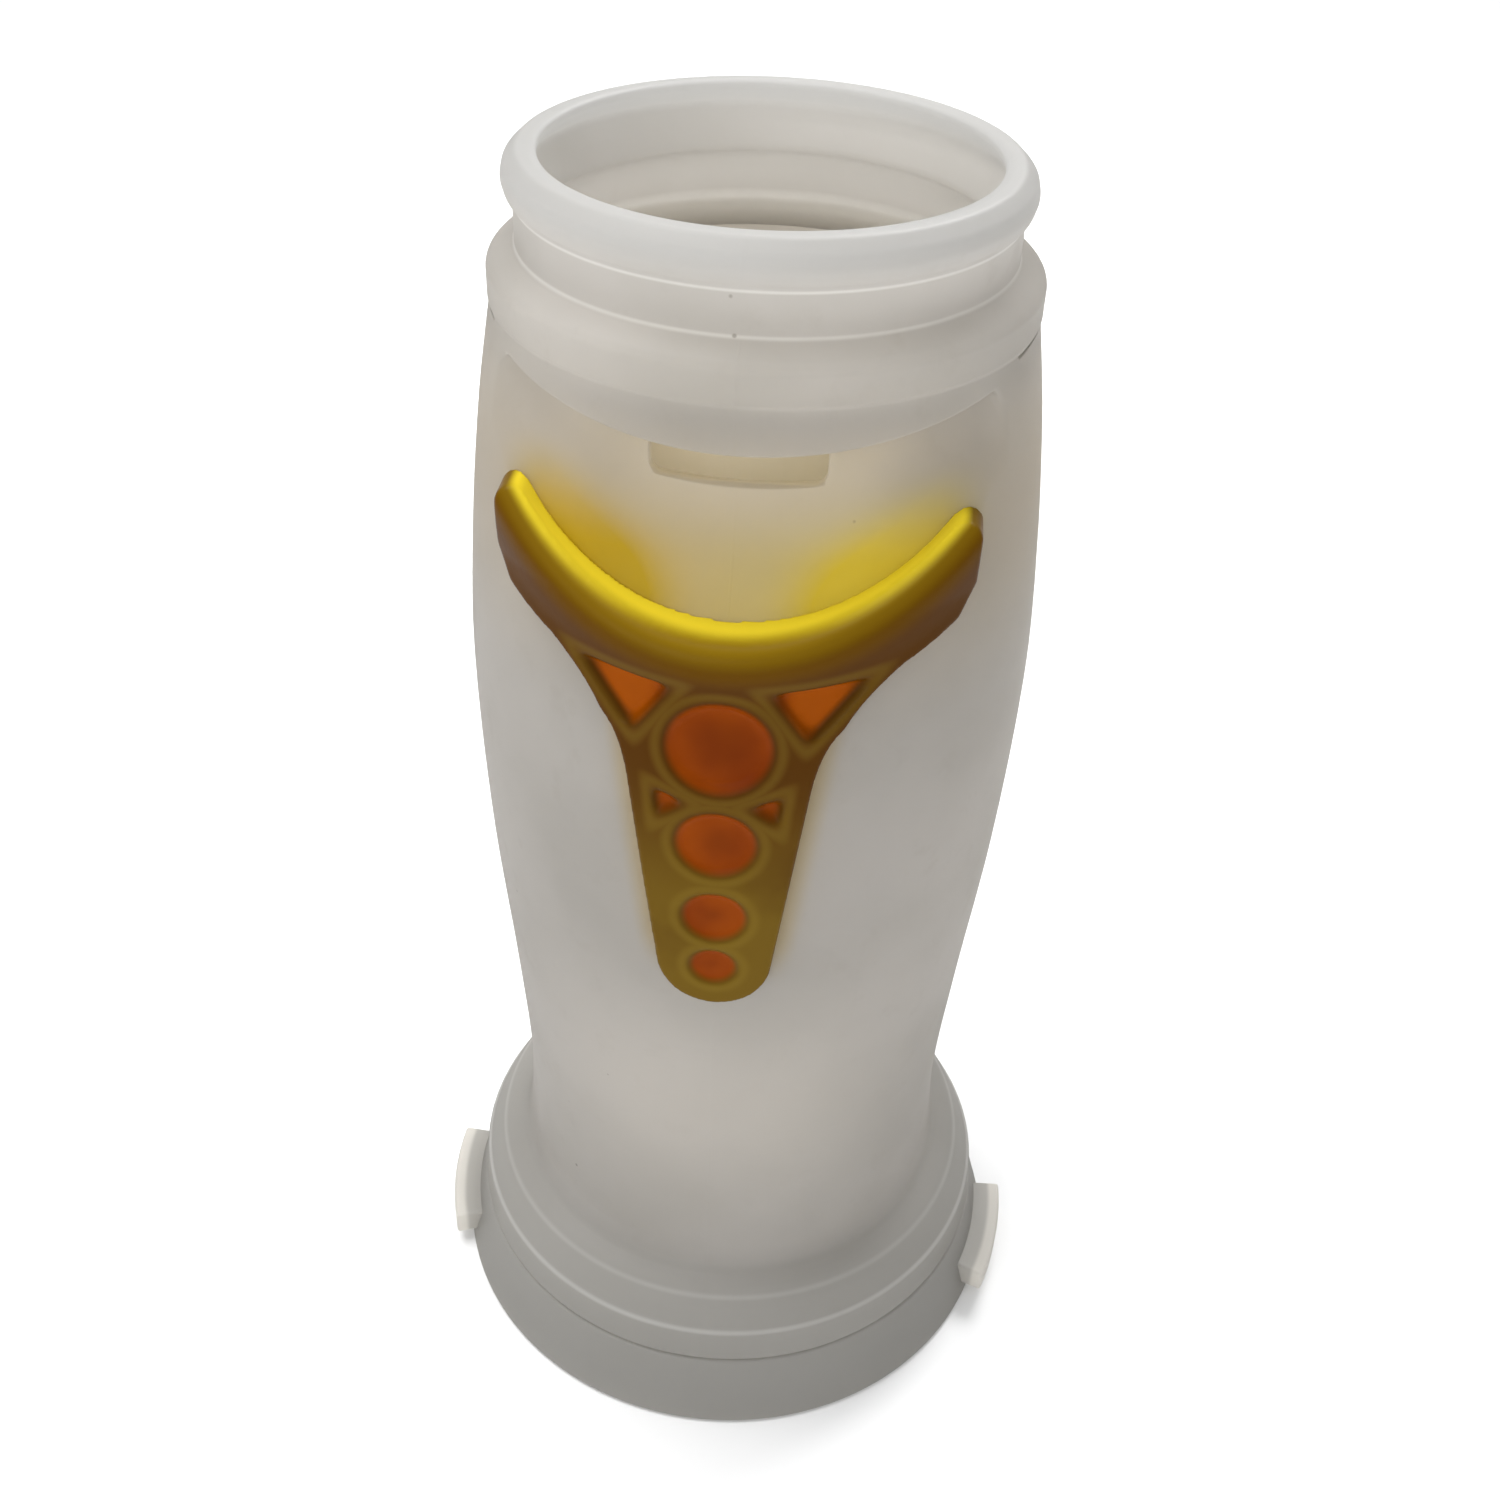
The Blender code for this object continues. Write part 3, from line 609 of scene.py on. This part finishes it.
def build_base():
    """The flared ring that the trap stands on, with a shelf for the bait cup and two grip lugs."""
    path = rounded(
        [
            (44.4 * MM, SEAM_HEIGHT),
            (45.5 * MM, SEAM_HEIGHT),
            (BASE_RADIUS - 0.1 * MM, 0.5 * MM),
            (BASE_RADIUS - 0.5 * MM, 0.0),
            (BASE_RADIUS - 2.2 * MM, 0.0),
            (BASE_RADIUS - 3.2 * MM, 3.0 * MM),
            (33.2 * MM, 3.0 * MM),
            (33.2 * MM, 5.0 * MM),
            (43.5 * MM, 5.0 * MM),
            (43.5 * MM, SEAM_HEIGHT),
            (44.4 * MM, SEAM_HEIGHT),
        ],
        0.5 * MM,
    )[:-1]
    base = ring_surface("flared_base", lambda angle: path, BASE_COLUMNS)
    for turn in (-LUG_FORWARD, math.pi + LUG_FORWARD):
        boolean(base, build_lug(turn), "UNION")
    base.data.shade_smooth()
    base.data.set_sharp_from_angle(angle=BASE_SHARP)
    return base


def build_lug(turn):
    """A grip lug as a curved block with soft edges, its root inside the ring's wall."""
    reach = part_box("base_ring")[1][0]  # the lug is its widest point
    root = BASE_RADIUS - LUG_ROOT_DEPTH
    angles = [turn - LUG_HALF_ANGLE + 2 * LUG_HALF_ANGLE * i / LUG_STEPS for i in range(LUG_STEPS + 1)]
    outline = [(reach * math.cos(a), reach * math.sin(a)) for a in angles]
    outline += [(root * math.cos(a), root * math.sin(a)) for a in reversed(angles)]
    shape = bmesh.new()
    face = shape.faces.new([shape.verts.new((x, y, LUG_LOW)) for x, y in outline])
    swept = bmesh.ops.extrude_face_region(shape, geom=[face])
    corners = [item for item in swept["geom"] if isinstance(item, bmesh.types.BMVert)]
    bmesh.ops.translate(shape, verts=corners, vec=Vector((0, 0, LUG_HIGH - LUG_LOW)))
    bmesh.ops.recalc_face_normals(shape, faces=shape.faces)
    mesh = bpy.data.meshes.new("lug")
    shape.to_mesh(mesh)
    shape.free()
    lug = new_object("lug", mesh)
    bevel = lug.modifiers.new("Bevel", "BEVEL")
    bevel.width = LUG_EDGE
    bevel.segments = 3
    bevel.limit_method = "ANGLE"
    bevel.angle_limit = math.radians(50)
    return apply_modifiers(lug)


# ---------------------------------------------------------------- bait pad


def build_pad():
    """A felt disc with a crowned face, a rounded rim and a slightly uneven nap."""
    low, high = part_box("bait_pad")
    radius = high[0]
    middle = 0.5 * (low[2] + high[2])
    half = 0.5 * (high[2] - low[2])
    steps = 22
    path = []
    for i in range(1, 2 * steps):
        turn = math.pi * i / (2 * steps)
        across = radius * math.sin(turn) ** 0.22
        side = -1 if i > steps else 1
        path.append((across, middle + side * half * (1 - (across / radius) ** 9) ** 0.5))
    path = [(0.4 * MM, middle + half)] + path + [(0.4 * MM, middle - half)]
    pad = ring_surface("felt_pad", lambda angle: path, 120)
    for vertex in pad.data.vertices:
        place = vertex.co
        nap = math.sin(900 * place.x) * math.sin(870 * place.y) + math.sin(310 * (place.x + place.y))
        vertex.co.z -= 0.06 * MM * (1 + nap / 2) * (1 if place.z > middle else -1)
    return pad


# ---------------------------------------------------------------- materials


class Field:
    """A number that varies over a material: ordinary operators become Math nodes."""

    def __init__(self, tree, socket):
        self.tree = tree
        self.socket = socket

    def calc(self, operation, *others):
        node = self.tree.nodes.new("ShaderNodeMath")
        node.operation = operation
        self.tree.links.new(self.socket, node.inputs[0])
        for socket, other in zip(node.inputs[1:], others):
            if isinstance(other, Field):
                self.tree.links.new(other.socket, socket)
            else:
                socket.default_value = other
        return Field(self.tree, node.outputs[0])

    def __add__(self, other):
        return self.calc("ADD", other)

    def __sub__(self, other):
        return self.calc("SUBTRACT", other)

    def __mul__(self, other):
        return self.calc("MULTIPLY", other)

    def size(self):
        return self.calc("ABSOLUTE")

    def least(self, other):
        return self.calc("MINIMUM", other)

    def rounded_least(self, other):
        return self.calc("SMOOTH_MIN", other, POCKET_ROUNDING)

    def most(self, other):
        return self.calc("MAXIMUM", other)

    def length(self, other):
        return (self * self + other * other).calc("SQRT")

    def fade(self, start, end, top=1.0):
        """Rises smoothly from 0 at start to top at end, whichever way round they are."""
        node = self.tree.nodes.new("ShaderNodeMapRange")
        node.interpolation_type = "SMOOTHSTEP"
        self.tree.links.new(self.socket, node.inputs["Value"])
        node.inputs["From Min"].default_value = start
        node.inputs["From Max"].default_value = end
        node.inputs["To Max"].default_value = top
        return Field(self.tree, node.outputs["Result"])

    def near(self, centre, reach):
        """1 at the centre value, falling smoothly to 0 at reach from it."""
        return (self - centre).size().fade(reach, 0.0)


def srgb(red, green, blue):
    """A colour as a display shows it, from 0 to 255, turned into the shader's linear values."""
    linear = []
    for value in (red, green, blue):
        share = value / 255
        linear.append(share / 12.92 if share <= 0.04045 else ((share + 0.055) / 1.055) ** 2.4)
    return (*linear, 1.0)


def new_material(name):
    """A material with its node tree and its main shader."""
    material = bpy.data.materials.new(name)
    material.use_nodes = True
    return material, material.node_tree, material.node_tree.nodes["Principled BSDF"]


def object_place(tree):
    """The point in the piece's own frame: its vector socket, and x, y and z as fields."""
    coordinates = tree.nodes.new("ShaderNodeTexCoord")
    split = tree.nodes.new("ShaderNodeSeparateXYZ")
    tree.links.new(coordinates.outputs["Object"], split.inputs[0])
    return coordinates.outputs["Object"], [Field(tree, socket) for socket in split.outputs]


def noise(tree, place, scale, detail=3, roughness=0.5):
    """Cloudy variation between 0 and 1, finer at a larger scale."""
    node = tree.nodes.new("ShaderNodeTexNoise")
    node.inputs["Scale"].default_value = scale
    node.inputs["Detail"].default_value = detail
    node.inputs["Roughness"].default_value = roughness
    tree.links.new(place, node.inputs["Vector"])
    return Field(tree, node.outputs["Fac"])


def specks(tree, place, scale, reach):
    """Small round spots, one in some of the cells of a grid of this scale."""
    node = tree.nodes.new("ShaderNodeTexVoronoi")
    node.inputs["Scale"].default_value = scale
    tree.links.new(place, node.inputs["Vector"])
    picked = tree.nodes.new("ShaderNodeSeparateColor")
    tree.links.new(node.outputs["Color"], picked.inputs[0])
    chosen = Field(tree, picked.outputs[0]).fade(0.80, 0.84)
    return Field(tree, node.outputs["Distance"]).fade(reach, 0.4 * reach) * chosen


def blend_colour(tree, below, above, amount):
    """The colour below, covered by the colour above as far as amount says."""
    node = tree.nodes.new("ShaderNodeMix")
    node.data_type = "RGBA"
    tree.links.new(amount.socket, node.inputs["Factor"])
    for socket, value in ((node.inputs[6], below), (node.inputs[7], above)):
        if isinstance(value, bpy.types.NodeSocket):
            tree.links.new(value, socket)
        else:
            socket.default_value = value
    return node.outputs[2]


def add_bump(tree, shader, height, distance):
    """Fine relief in the surface, this far from its lowest to its highest."""
    bump = tree.nodes.new("ShaderNodeBump")
    bump.inputs["Strength"].default_value = 1.0
    bump.inputs["Distance"].default_value = distance
    tree.links.new(height.socket, bump.inputs["Height"])
    tree.links.new(bump.outputs["Normal"], shader.inputs["Normal"])


def let_light_through(tree, shader, colour, share):
    """Mixes in light that comes through from behind, which makes the plastic look milky."""
    through = tree.nodes.new("ShaderNodeBsdfTranslucent")
    mix = tree.nodes.new("ShaderNodeMixShader")
    mix.inputs["Fac"].default_value = share
    tree.links.new(colour, through.inputs["Color"])
    tree.links.new(shader.outputs[0], mix.inputs[1])
    tree.links.new(through.outputs[0], mix.inputs[2])
    tree.links.new(mix.outputs[0], tree.nodes["Material Output"].inputs["Surface"])


def dish_field(x, z):
    """Distance in the front view from the dish's centre."""
    return x.length(z - DISH_CENTRE)


def stem_halo(x, y, z):
    """How near a point of the housing is to the perch's stem, 1 at its edge."""
    half_width = (z - STEM_END_CENTRE) * 0.12 + STEM_END_RADIUS
    beside = (x.size() - half_width).fade(3.6 * MM, 0.2 * MM)
    above_end = z.fade(STEM_END_CENTRE - 6 * MM, STEM_END_CENTRE + 4 * MM)
    below_fork = z.fade(146 * MM, 138 * MM)
    return beside * above_end * below_fork


def frosted_material():
    """Milky plastic, with painted warm light at the porch's height, painted light in the mouth, the
    dish and on the front of the waist, painted yellow light beside the perch and painted highlights on
    its edges.
    """
    material, tree, shader = new_material("frosted plastic")
    place, (x, y, z) = object_place(tree)
    front = y.fade(-8 * MM, -18 * MM)
    from_axis = x.length(y)
    cloud = noise(tree, place, 28, 3)
    streaks = noise(tree, place, 160, 4, 0.6)
    colour = blend_colour(tree, srgb(208, 205, 200), srgb(216, 213, 209), cloud.fade(0.35, 0.65))
    colour = blend_colour(tree, colour, srgb(203, 199, 193), streaks.fade(0.55, 0.75, 0.35))

    # painted warm light in the upper half, painted light on the inner wall, a cool rim, painted light
    # on the front of the waist and a grey foot
    upper = z.near(162 * MM, 27 * MM)
    colour = blend_colour(tree, colour, srgb(210, 200, 182), upper * 0.6)
    neck = from_axis.fade(31.5 * MM, 30.9 * MM)
    below_ledge = z.fade(HEIGHT - 14 * MM, HEIGHT - 17 * MM)
    under_ledge = from_axis.fade(34.2 * MM, 33.2 * MM) * below_ledge
    clear_of_porch = z.fade(177 * MM, 180 * MM).most(y.fade(0, 10 * MM))
    # painted light on the inner wall of the mouth and in the shade under its ledge
    inside = (neck * 0.35).most(under_ledge) * clear_of_porch
    colour = blend_colour(tree, colour, srgb(250, 249, 246), inside)
    rim = z.fade(HEIGHT - 5 * MM, HEIGHT - 1.5 * MM)
    colour = blend_colour(tree, colour, srgb(216, 216, 215), rim * 0.8)
    # a painted pool of light on the front of the waist
    painted_waist_light = z.near(66 * MM, 40 * MM) * x.size().fade(34 * MM, 8 * MM) * front
    colour = blend_colour(tree, colour, srgb(236, 232, 226), painted_waist_light * 0.6)
    foot = z.fade(31 * MM, 22 * MM, 0.8)
    colour = blend_colour(tree, colour, srgb(202, 200, 195), foot)

    # the porch's dish, with painted light in its middle, and the perch's yellow light painted along its
    # lower edge
    dish = dish_field(x, z)
    under_lip = z.fade(177.5 * MM, 173 * MM) * front
    inside_dish = dish.fade(41.5 * MM, 40.3 * MM) * under_lip
    # painted light lifting the shade in the middle of the dish
    painted_dish_light = x.size().fade(27 * MM, 8 * MM, 0.85)
    colour = blend_colour(tree, colour, srgb(238, 231, 216), inside_dish * painted_dish_light)
    # painted yellow light from the perch along the dish's lower edge, brighter to the right
    lobes = x.size().fade(3 * MM, 16 * MM) * dish.fade(26.5 * MM, 36.5 * MM, 0.9)
    wash = dish.fade(16 * MM, 37 * MM, 0.5)
    between_tips = x.size().fade(31 * MM, 24 * MM) * z.fade(172 * MM, 160 * MM)
    glow = (lobes + wash).least(1.0) * inside_dish * between_tips * (cloud * 0.3 + 0.85)
    to_the_right = x.fade(-16 * MM, 16 * MM)
    glow_colour = blend_colour(tree, srgb(226, 198, 30), srgb(250, 232, 84), to_the_right)
    colour = blend_colour(tree, colour, glow_colour, glow.least(1.0))
    # painted yellow light on the housing beside the perch's stem
    painted_stem_glow = stem_halo(x, y, z) * front
    colour = blend_colour(tree, colour, srgb(214, 190, 120), painted_stem_glow * 0.5)

    # painted highlights on thin edges, pale lugs and a few specks of dust
    outside = from_axis.fade(31.2 * MM, 31.7 * MM)
    # painted highlights along the bead, the neck's foot and the foot's steps
    edges = z.near(BEAD_EDGE, 0.35 * MM).most(z.near(NECK_FOOT_EDGE, 0.35 * MM))
    edges = edges.most(z.near(FOOT_STEP_EDGE, 0.5 * MM)).most(z.near(FOOT_TOP_EDGE, 0.5 * MM) * 0.5)
    colour = blend_colour(tree, colour, srgb(250, 249, 246), edges * outside * 0.6)
    lugs = from_axis.fade(49.4 * MM, 50.4 * MM) * z.fade(34 * MM, 30 * MM)
    colour = blend_colour(tree, colour, srgb(240, 237, 231), lugs)
    dust = specks(tree, place, 130, 0.05)
    colour = blend_colour(tree, colour, srgb(120, 112, 100), dust * 0.5)
    tree.links.new(colour, shader.inputs["Base Color"])

    sheen = noise(tree, place, 420, 3)
    roughness = sheen * 0.16 + 0.33
    tree.links.new(roughness.socket, shader.inputs["Roughness"])
    shader.inputs["IOR"].default_value = 1.42
    grain = noise(tree, place, 1500, 2)
    parting = x.size().fade(0.22 * MM, 0.05 * MM) * front * 0.6
    wave = noise(tree, place, 60, 2)
    add_bump(tree, shader, grain * 0.25 + parting + wave * 1.3, 0.05 * MM)
    let_light_through(tree, shader, colour, 0.66)
    return material


def half_plane(x, z, start, end, middle):
    """Signed distance from the line through two points, positive on the side of the middle."""
    nx, nz = end[1] - start[1], start[0] - end[0]
    length = math.hypot(nx, nz)
    if (middle[0] - start[0]) * nx + (middle[1] - start[1]) * nz < 0:
        length = -length
    return (x - start[0]) * (nx / length) + (z - start[1]) * (nz / length)


def pocket_field(x, z):
    """Signed distance into the nearest pocket, positive inside it."""
    inside = None
    for height, radius in ROUND_POCKETS:
        here = x.length(z - height) * -1 + radius
        inside = here if inside is None else inside.most(here)
    across = x.size()
    for corners in CORNER_POCKETS:
        middle = (sum(c[0] for c in corners) / 3, sum(c[1] for c in corners) / 3)
        edges = zip(corners, corners[1:] + corners[:1])
        sides = [half_plane(across, z, a, b, middle) for a, b in edges]
        inside = inside.most(sides[0].rounded_least(sides[1]).rounded_least(sides[2]))
    return inside


def yellow_material():
    """Yellow plastic with painted light and shade: a painted highlight along the top edge, painted
    shade that makes the plate brown, painted orange light in the pockets.
    """
    material, tree, shader = new_material("yellow plastic")
    place, (x, y, z) = object_place(tree)
    cloud = noise(tree, place, 55, 3)
    fine = noise(tree, place, 260, 4, 0.6)
    dish = dish_field(x, z)
    pockets = pocket_field(x, z)

    # painted shade: the front plate brown, lighter towards the bottom
    colour = blend_colour(tree, srgb(84, 50, 3), srgb(112, 86, 20), z.fade(137 * MM, 108 * MM))
    colour = blend_colour(tree, colour, srgb(78, 46, 3), cloud.fade(0.45, 0.7, 0.5))
    # painted shade on the nose's front face under its roll
    face = dish.fade(PERCH_ARC_RADIUS + 6.5 * MM, PERCH_ARC_RADIUS + 3.4 * MM)
    colour = blend_colour(tree, colour, srgb(100, 66, 1), face)
    # painted shade on the nose's roll, between the lit top and the face
    roll = dish.fade(PERCH_ARC_RADIUS + 3.6 * MM, PERCH_ARC_RADIUS + 1.2 * MM)
    colour = blend_colour(tree, colour, srgb(122, 92, 8), roll)
    # painted light along the nose's top edge, darker outwards
    top = dish.fade(PERCH_ARC_RADIUS + 1.5 * MM, PERCH_ARC_RADIUS + 0.3 * MM)
    outer = x.length(y).fade(38.6 * MM, 42.2 * MM)
    painted_top_light = blend_colour(tree, srgb(240, 214, 48), srgb(138, 108, 12), outer)
    colour = blend_colour(tree, colour, painted_top_light, top)
    # painted highlight round the pockets' rims
    colour = blend_colour(tree, colour, srgb(146, 120, 44), pockets.near(-0.7 * MM, 1.2 * MM) * 0.22)
    # painted shade on the pockets' walls
    wall = pockets.fade(-0.3 * MM, 0.4 * MM, 0.3)
    colour = blend_colour(tree, colour, srgb(74, 40, 3), wall)
    # painted orange light through the pockets' thin floors, brighter in the upper outer pockets and
    # dimmer away from their edges
    floor = pockets.fade(0.1 * MM, 1.3 * MM)
    painted_pocket_glow = blend_colour(tree, srgb(150, 66, 2), srgb(120, 46, 1), cloud.fade(0.35, 0.7))
    corner = x.size().fade(6.5 * MM, 9.5 * MM) * z.fade(138 * MM, 142 * MM)
    painted_pocket_glow = blend_colour(tree, painted_pocket_glow, srgb(170, 82, 2), corner * 0.8)
    middle = pockets.fade(1.5 * MM, 6.0 * MM, 0.4)
    painted_pocket_glow = blend_colour(tree, painted_pocket_glow, srgb(104, 42, 1), middle)
    colour = blend_colour(tree, colour, painted_pocket_glow, floor)
    tree.links.new(colour, shader.inputs["Base Color"])

    roughness = fine * 0.2 + 0.24
    tree.links.new(roughness.socket, shader.inputs["Roughness"])
    shader.inputs["IOR"].default_value = 1.46
    shader.inputs["Specular IOR Level"].default_value = 0.05
    grain = noise(tree, place, 1300, 2)
    wave = noise(tree, place, 90, 2)
    add_bump(tree, shader, grain * 0.25 + wave * 1.2, 0.05 * MM)
    let_light_through(tree, shader, colour, 0.12)
    return material


def clear_material():
    """Milky clear plastic of the pieces inside, with faint turning rings."""
    material, tree, shader = new_material("clear inner plastic")
    place, (x, y, _) = object_place(tree)
    cloud = noise(tree, place, 45, 3)
    colour = blend_colour(tree, srgb(230, 224, 208), srgb(238, 232, 218), cloud.fade(0.35, 0.65))
    tree.links.new(colour, shader.inputs["Base Color"])
    roughness = noise(tree, place, 380, 3) * 0.2 + 0.25
    tree.links.new(roughness.socket, shader.inputs["Roughness"])
    rings = (x.length(y) * 9000).calc("SINE")
    add_bump(tree, shader, rings * 0.5 + noise(tree, place, 1400, 2) * 0.5, 0.03 * MM)
    let_light_through(tree, shader, colour, 0.7)
    return material


def rubber_material():
    """Dark rubber with a grey bloom and a thin moulding flash round its edge."""
    material, tree, shader = new_material("seal rubber")
    place, (_, _, z) = object_place(tree)
    bloom = noise(tree, place, 120, 4, 0.6)
    colour = blend_colour(tree, srgb(38, 38, 38), srgb(70, 68, 64), bloom.fade(0.5, 0.75))
    tree.links.new(colour, shader.inputs["Base Color"])
    roughness = bloom * 0.3 + 0.5
    tree.links.new(roughness.socket, shader.inputs["Roughness"])
    flash = z.near(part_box("base_seal")[0][2] + 1.1 * MM, 0.25 * MM)
    add_bump(tree, shader, flash + noise(tree, place, 900, 3) * 0.6, 0.08 * MM)
    return material


def felt_material():
    """Matted fibres, stained in places."""
    material, tree, shader = new_material("bait felt")
    place, _ = object_place(tree)
    fibres = tree.nodes.new("ShaderNodeTexNoise")
    fibres.inputs["Scale"].default_value = 700
    fibres.inputs["Detail"].default_value = 5
    fibres.inputs["Distortion"].default_value = 2.5
    tree.links.new(place, fibres.inputs["Vector"])
    strands = Field(tree, fibres.outputs["Fac"])
    stain = noise(tree, place, 50, 3)
    colour = blend_colour(tree, srgb(196, 186, 160), srgb(160, 148, 118), strands.fade(0.35, 0.65))
    colour = blend_colour(tree, colour, srgb(170, 146, 92), stain.fade(0.5, 0.75, 0.6))
    tree.links.new(colour, shader.inputs["Base Color"])
    roughness = strands * 0.15 + 0.82
    tree.links.new(roughness.socket, shader.inputs["Roughness"])
    shader.inputs["Sheen Weight"].default_value = 0.3
    shader.inputs["Sheen Roughness"].default_value = 0.6
    add_bump(tree, shader, strands, 0.25 * MM)
    return material


def floor_material():
    material, tree, shader = new_material("pale floor")
    place, _ = object_place(tree)
    mottle = noise(tree, place, 6, 4)
    colour = blend_colour(tree, (0.92, 0.92, 0.92, 1), (0.95, 0.95, 0.95, 1), mottle)
    tree.links.new(colour, shader.inputs["Base Color"])
    shader.inputs["Roughness"].default_value = 0.9
    shader.inputs["Specular IOR Level"].default_value = 0.1
    return material


def set_material(obj, material):
    obj.data.materials.clear()
    obj.data.materials.append(material)


# ---------------------------------------------------------------- stage


def add_stage():
    """A plain pale floor just under the trap."""
    bpy.ops.mesh.primitive_plane_add(size=6, location=(0, 0, -0.0002))
    floor = bpy.context.object
    floor.name = "floor"
    set_material(floor, floor_material())


def add_light(name, place, target, size, power):
    """A round white area light that faces the target."""
    data = bpy.data.lights.new(name, "AREA")
    data.shape = "DISK"
    data.size = size
    data.energy = power
    light = bpy.data.objects.new(name, data)
    bpy.context.scene.collection.objects.link(light)
    light.location = place
    light.rotation_euler = (Vector(target) - Vector(place)).to_track_quat("-Z", "Y").to_euler()


def add_lights():
    """A bright even room with soft lights behind, above and in front."""
    world = bpy.data.worlds.new("studio")
    bpy.context.scene.world = world
    world.use_nodes = True
    background = world.node_tree.nodes["Background"]
    background.inputs["Color"].default_value = (0.98, 0.99, 1.0, 1)
    background.inputs["Strength"].default_value = 0.63
    add_light("back", (0.25, 0.75, 0.9), (0, 0, 0.1), 0.5, 8.0)
    add_light("top", (-0.3, 0.05, 1.05), (0, 0, 0.0), 0.6, 7.0)
    add_light("front", (-0.35, -0.95, 0.5), (0, 0, 0.12), 0.7, 3.0)


def add_camera():
    """A close camera that looks down at the front, slightly from the right."""
    yaw = math.radians(4.6)
    pitch = math.radians(37.18)
    roll = math.radians(-2.45)
    distance = 208.5 * MM
    height = 264.0 * MM
    data = bpy.data.cameras.new("camera")
    data.lens = 40.1
    data.sensor_width = 36
    data.clip_start = 0.01
    data.shift_x = 0.0030
    data.shift_y = 0.0054
    camera = bpy.data.objects.new("camera", data)
    bpy.context.scene.collection.objects.link(camera)
    camera.location = (distance * math.sin(yaw), -distance * math.cos(yaw), height)
    turn = Euler((math.pi / 2 - pitch, 0, yaw)).to_matrix()
    camera.rotation_euler = (turn @ Euler((0, 0, -roll)).to_matrix()).to_euler()
    bpy.context.scene.camera = camera


# ---------------------------------------------------------------- build

bpy.context.scene.view_settings.view_transform = "Standard"
add_camera()
add_lights()
add_stage()

frosted = frosted_material()
housing = build_housing()
set_material(housing, frosted)
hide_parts("trap_body")
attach(housing, "housing")

perch = build_perch()
set_material(perch, yellow_material())
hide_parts("landing_perch")
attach(perch, "housing")

base = build_base()
set_material(base, frosted)
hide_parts("base_ring")
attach(base, "base")

pad = build_pad()
set_material(pad, felt_material())
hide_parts("bait_pad")
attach(pad, "cup")

inner = clear_material()
for node in ("entry_baffle", "bait_cup", "bait_cover"):
    set_material(frame["nodes"][node], inner)
set_material(frame["nodes"]["base_seal"], rubber_material())
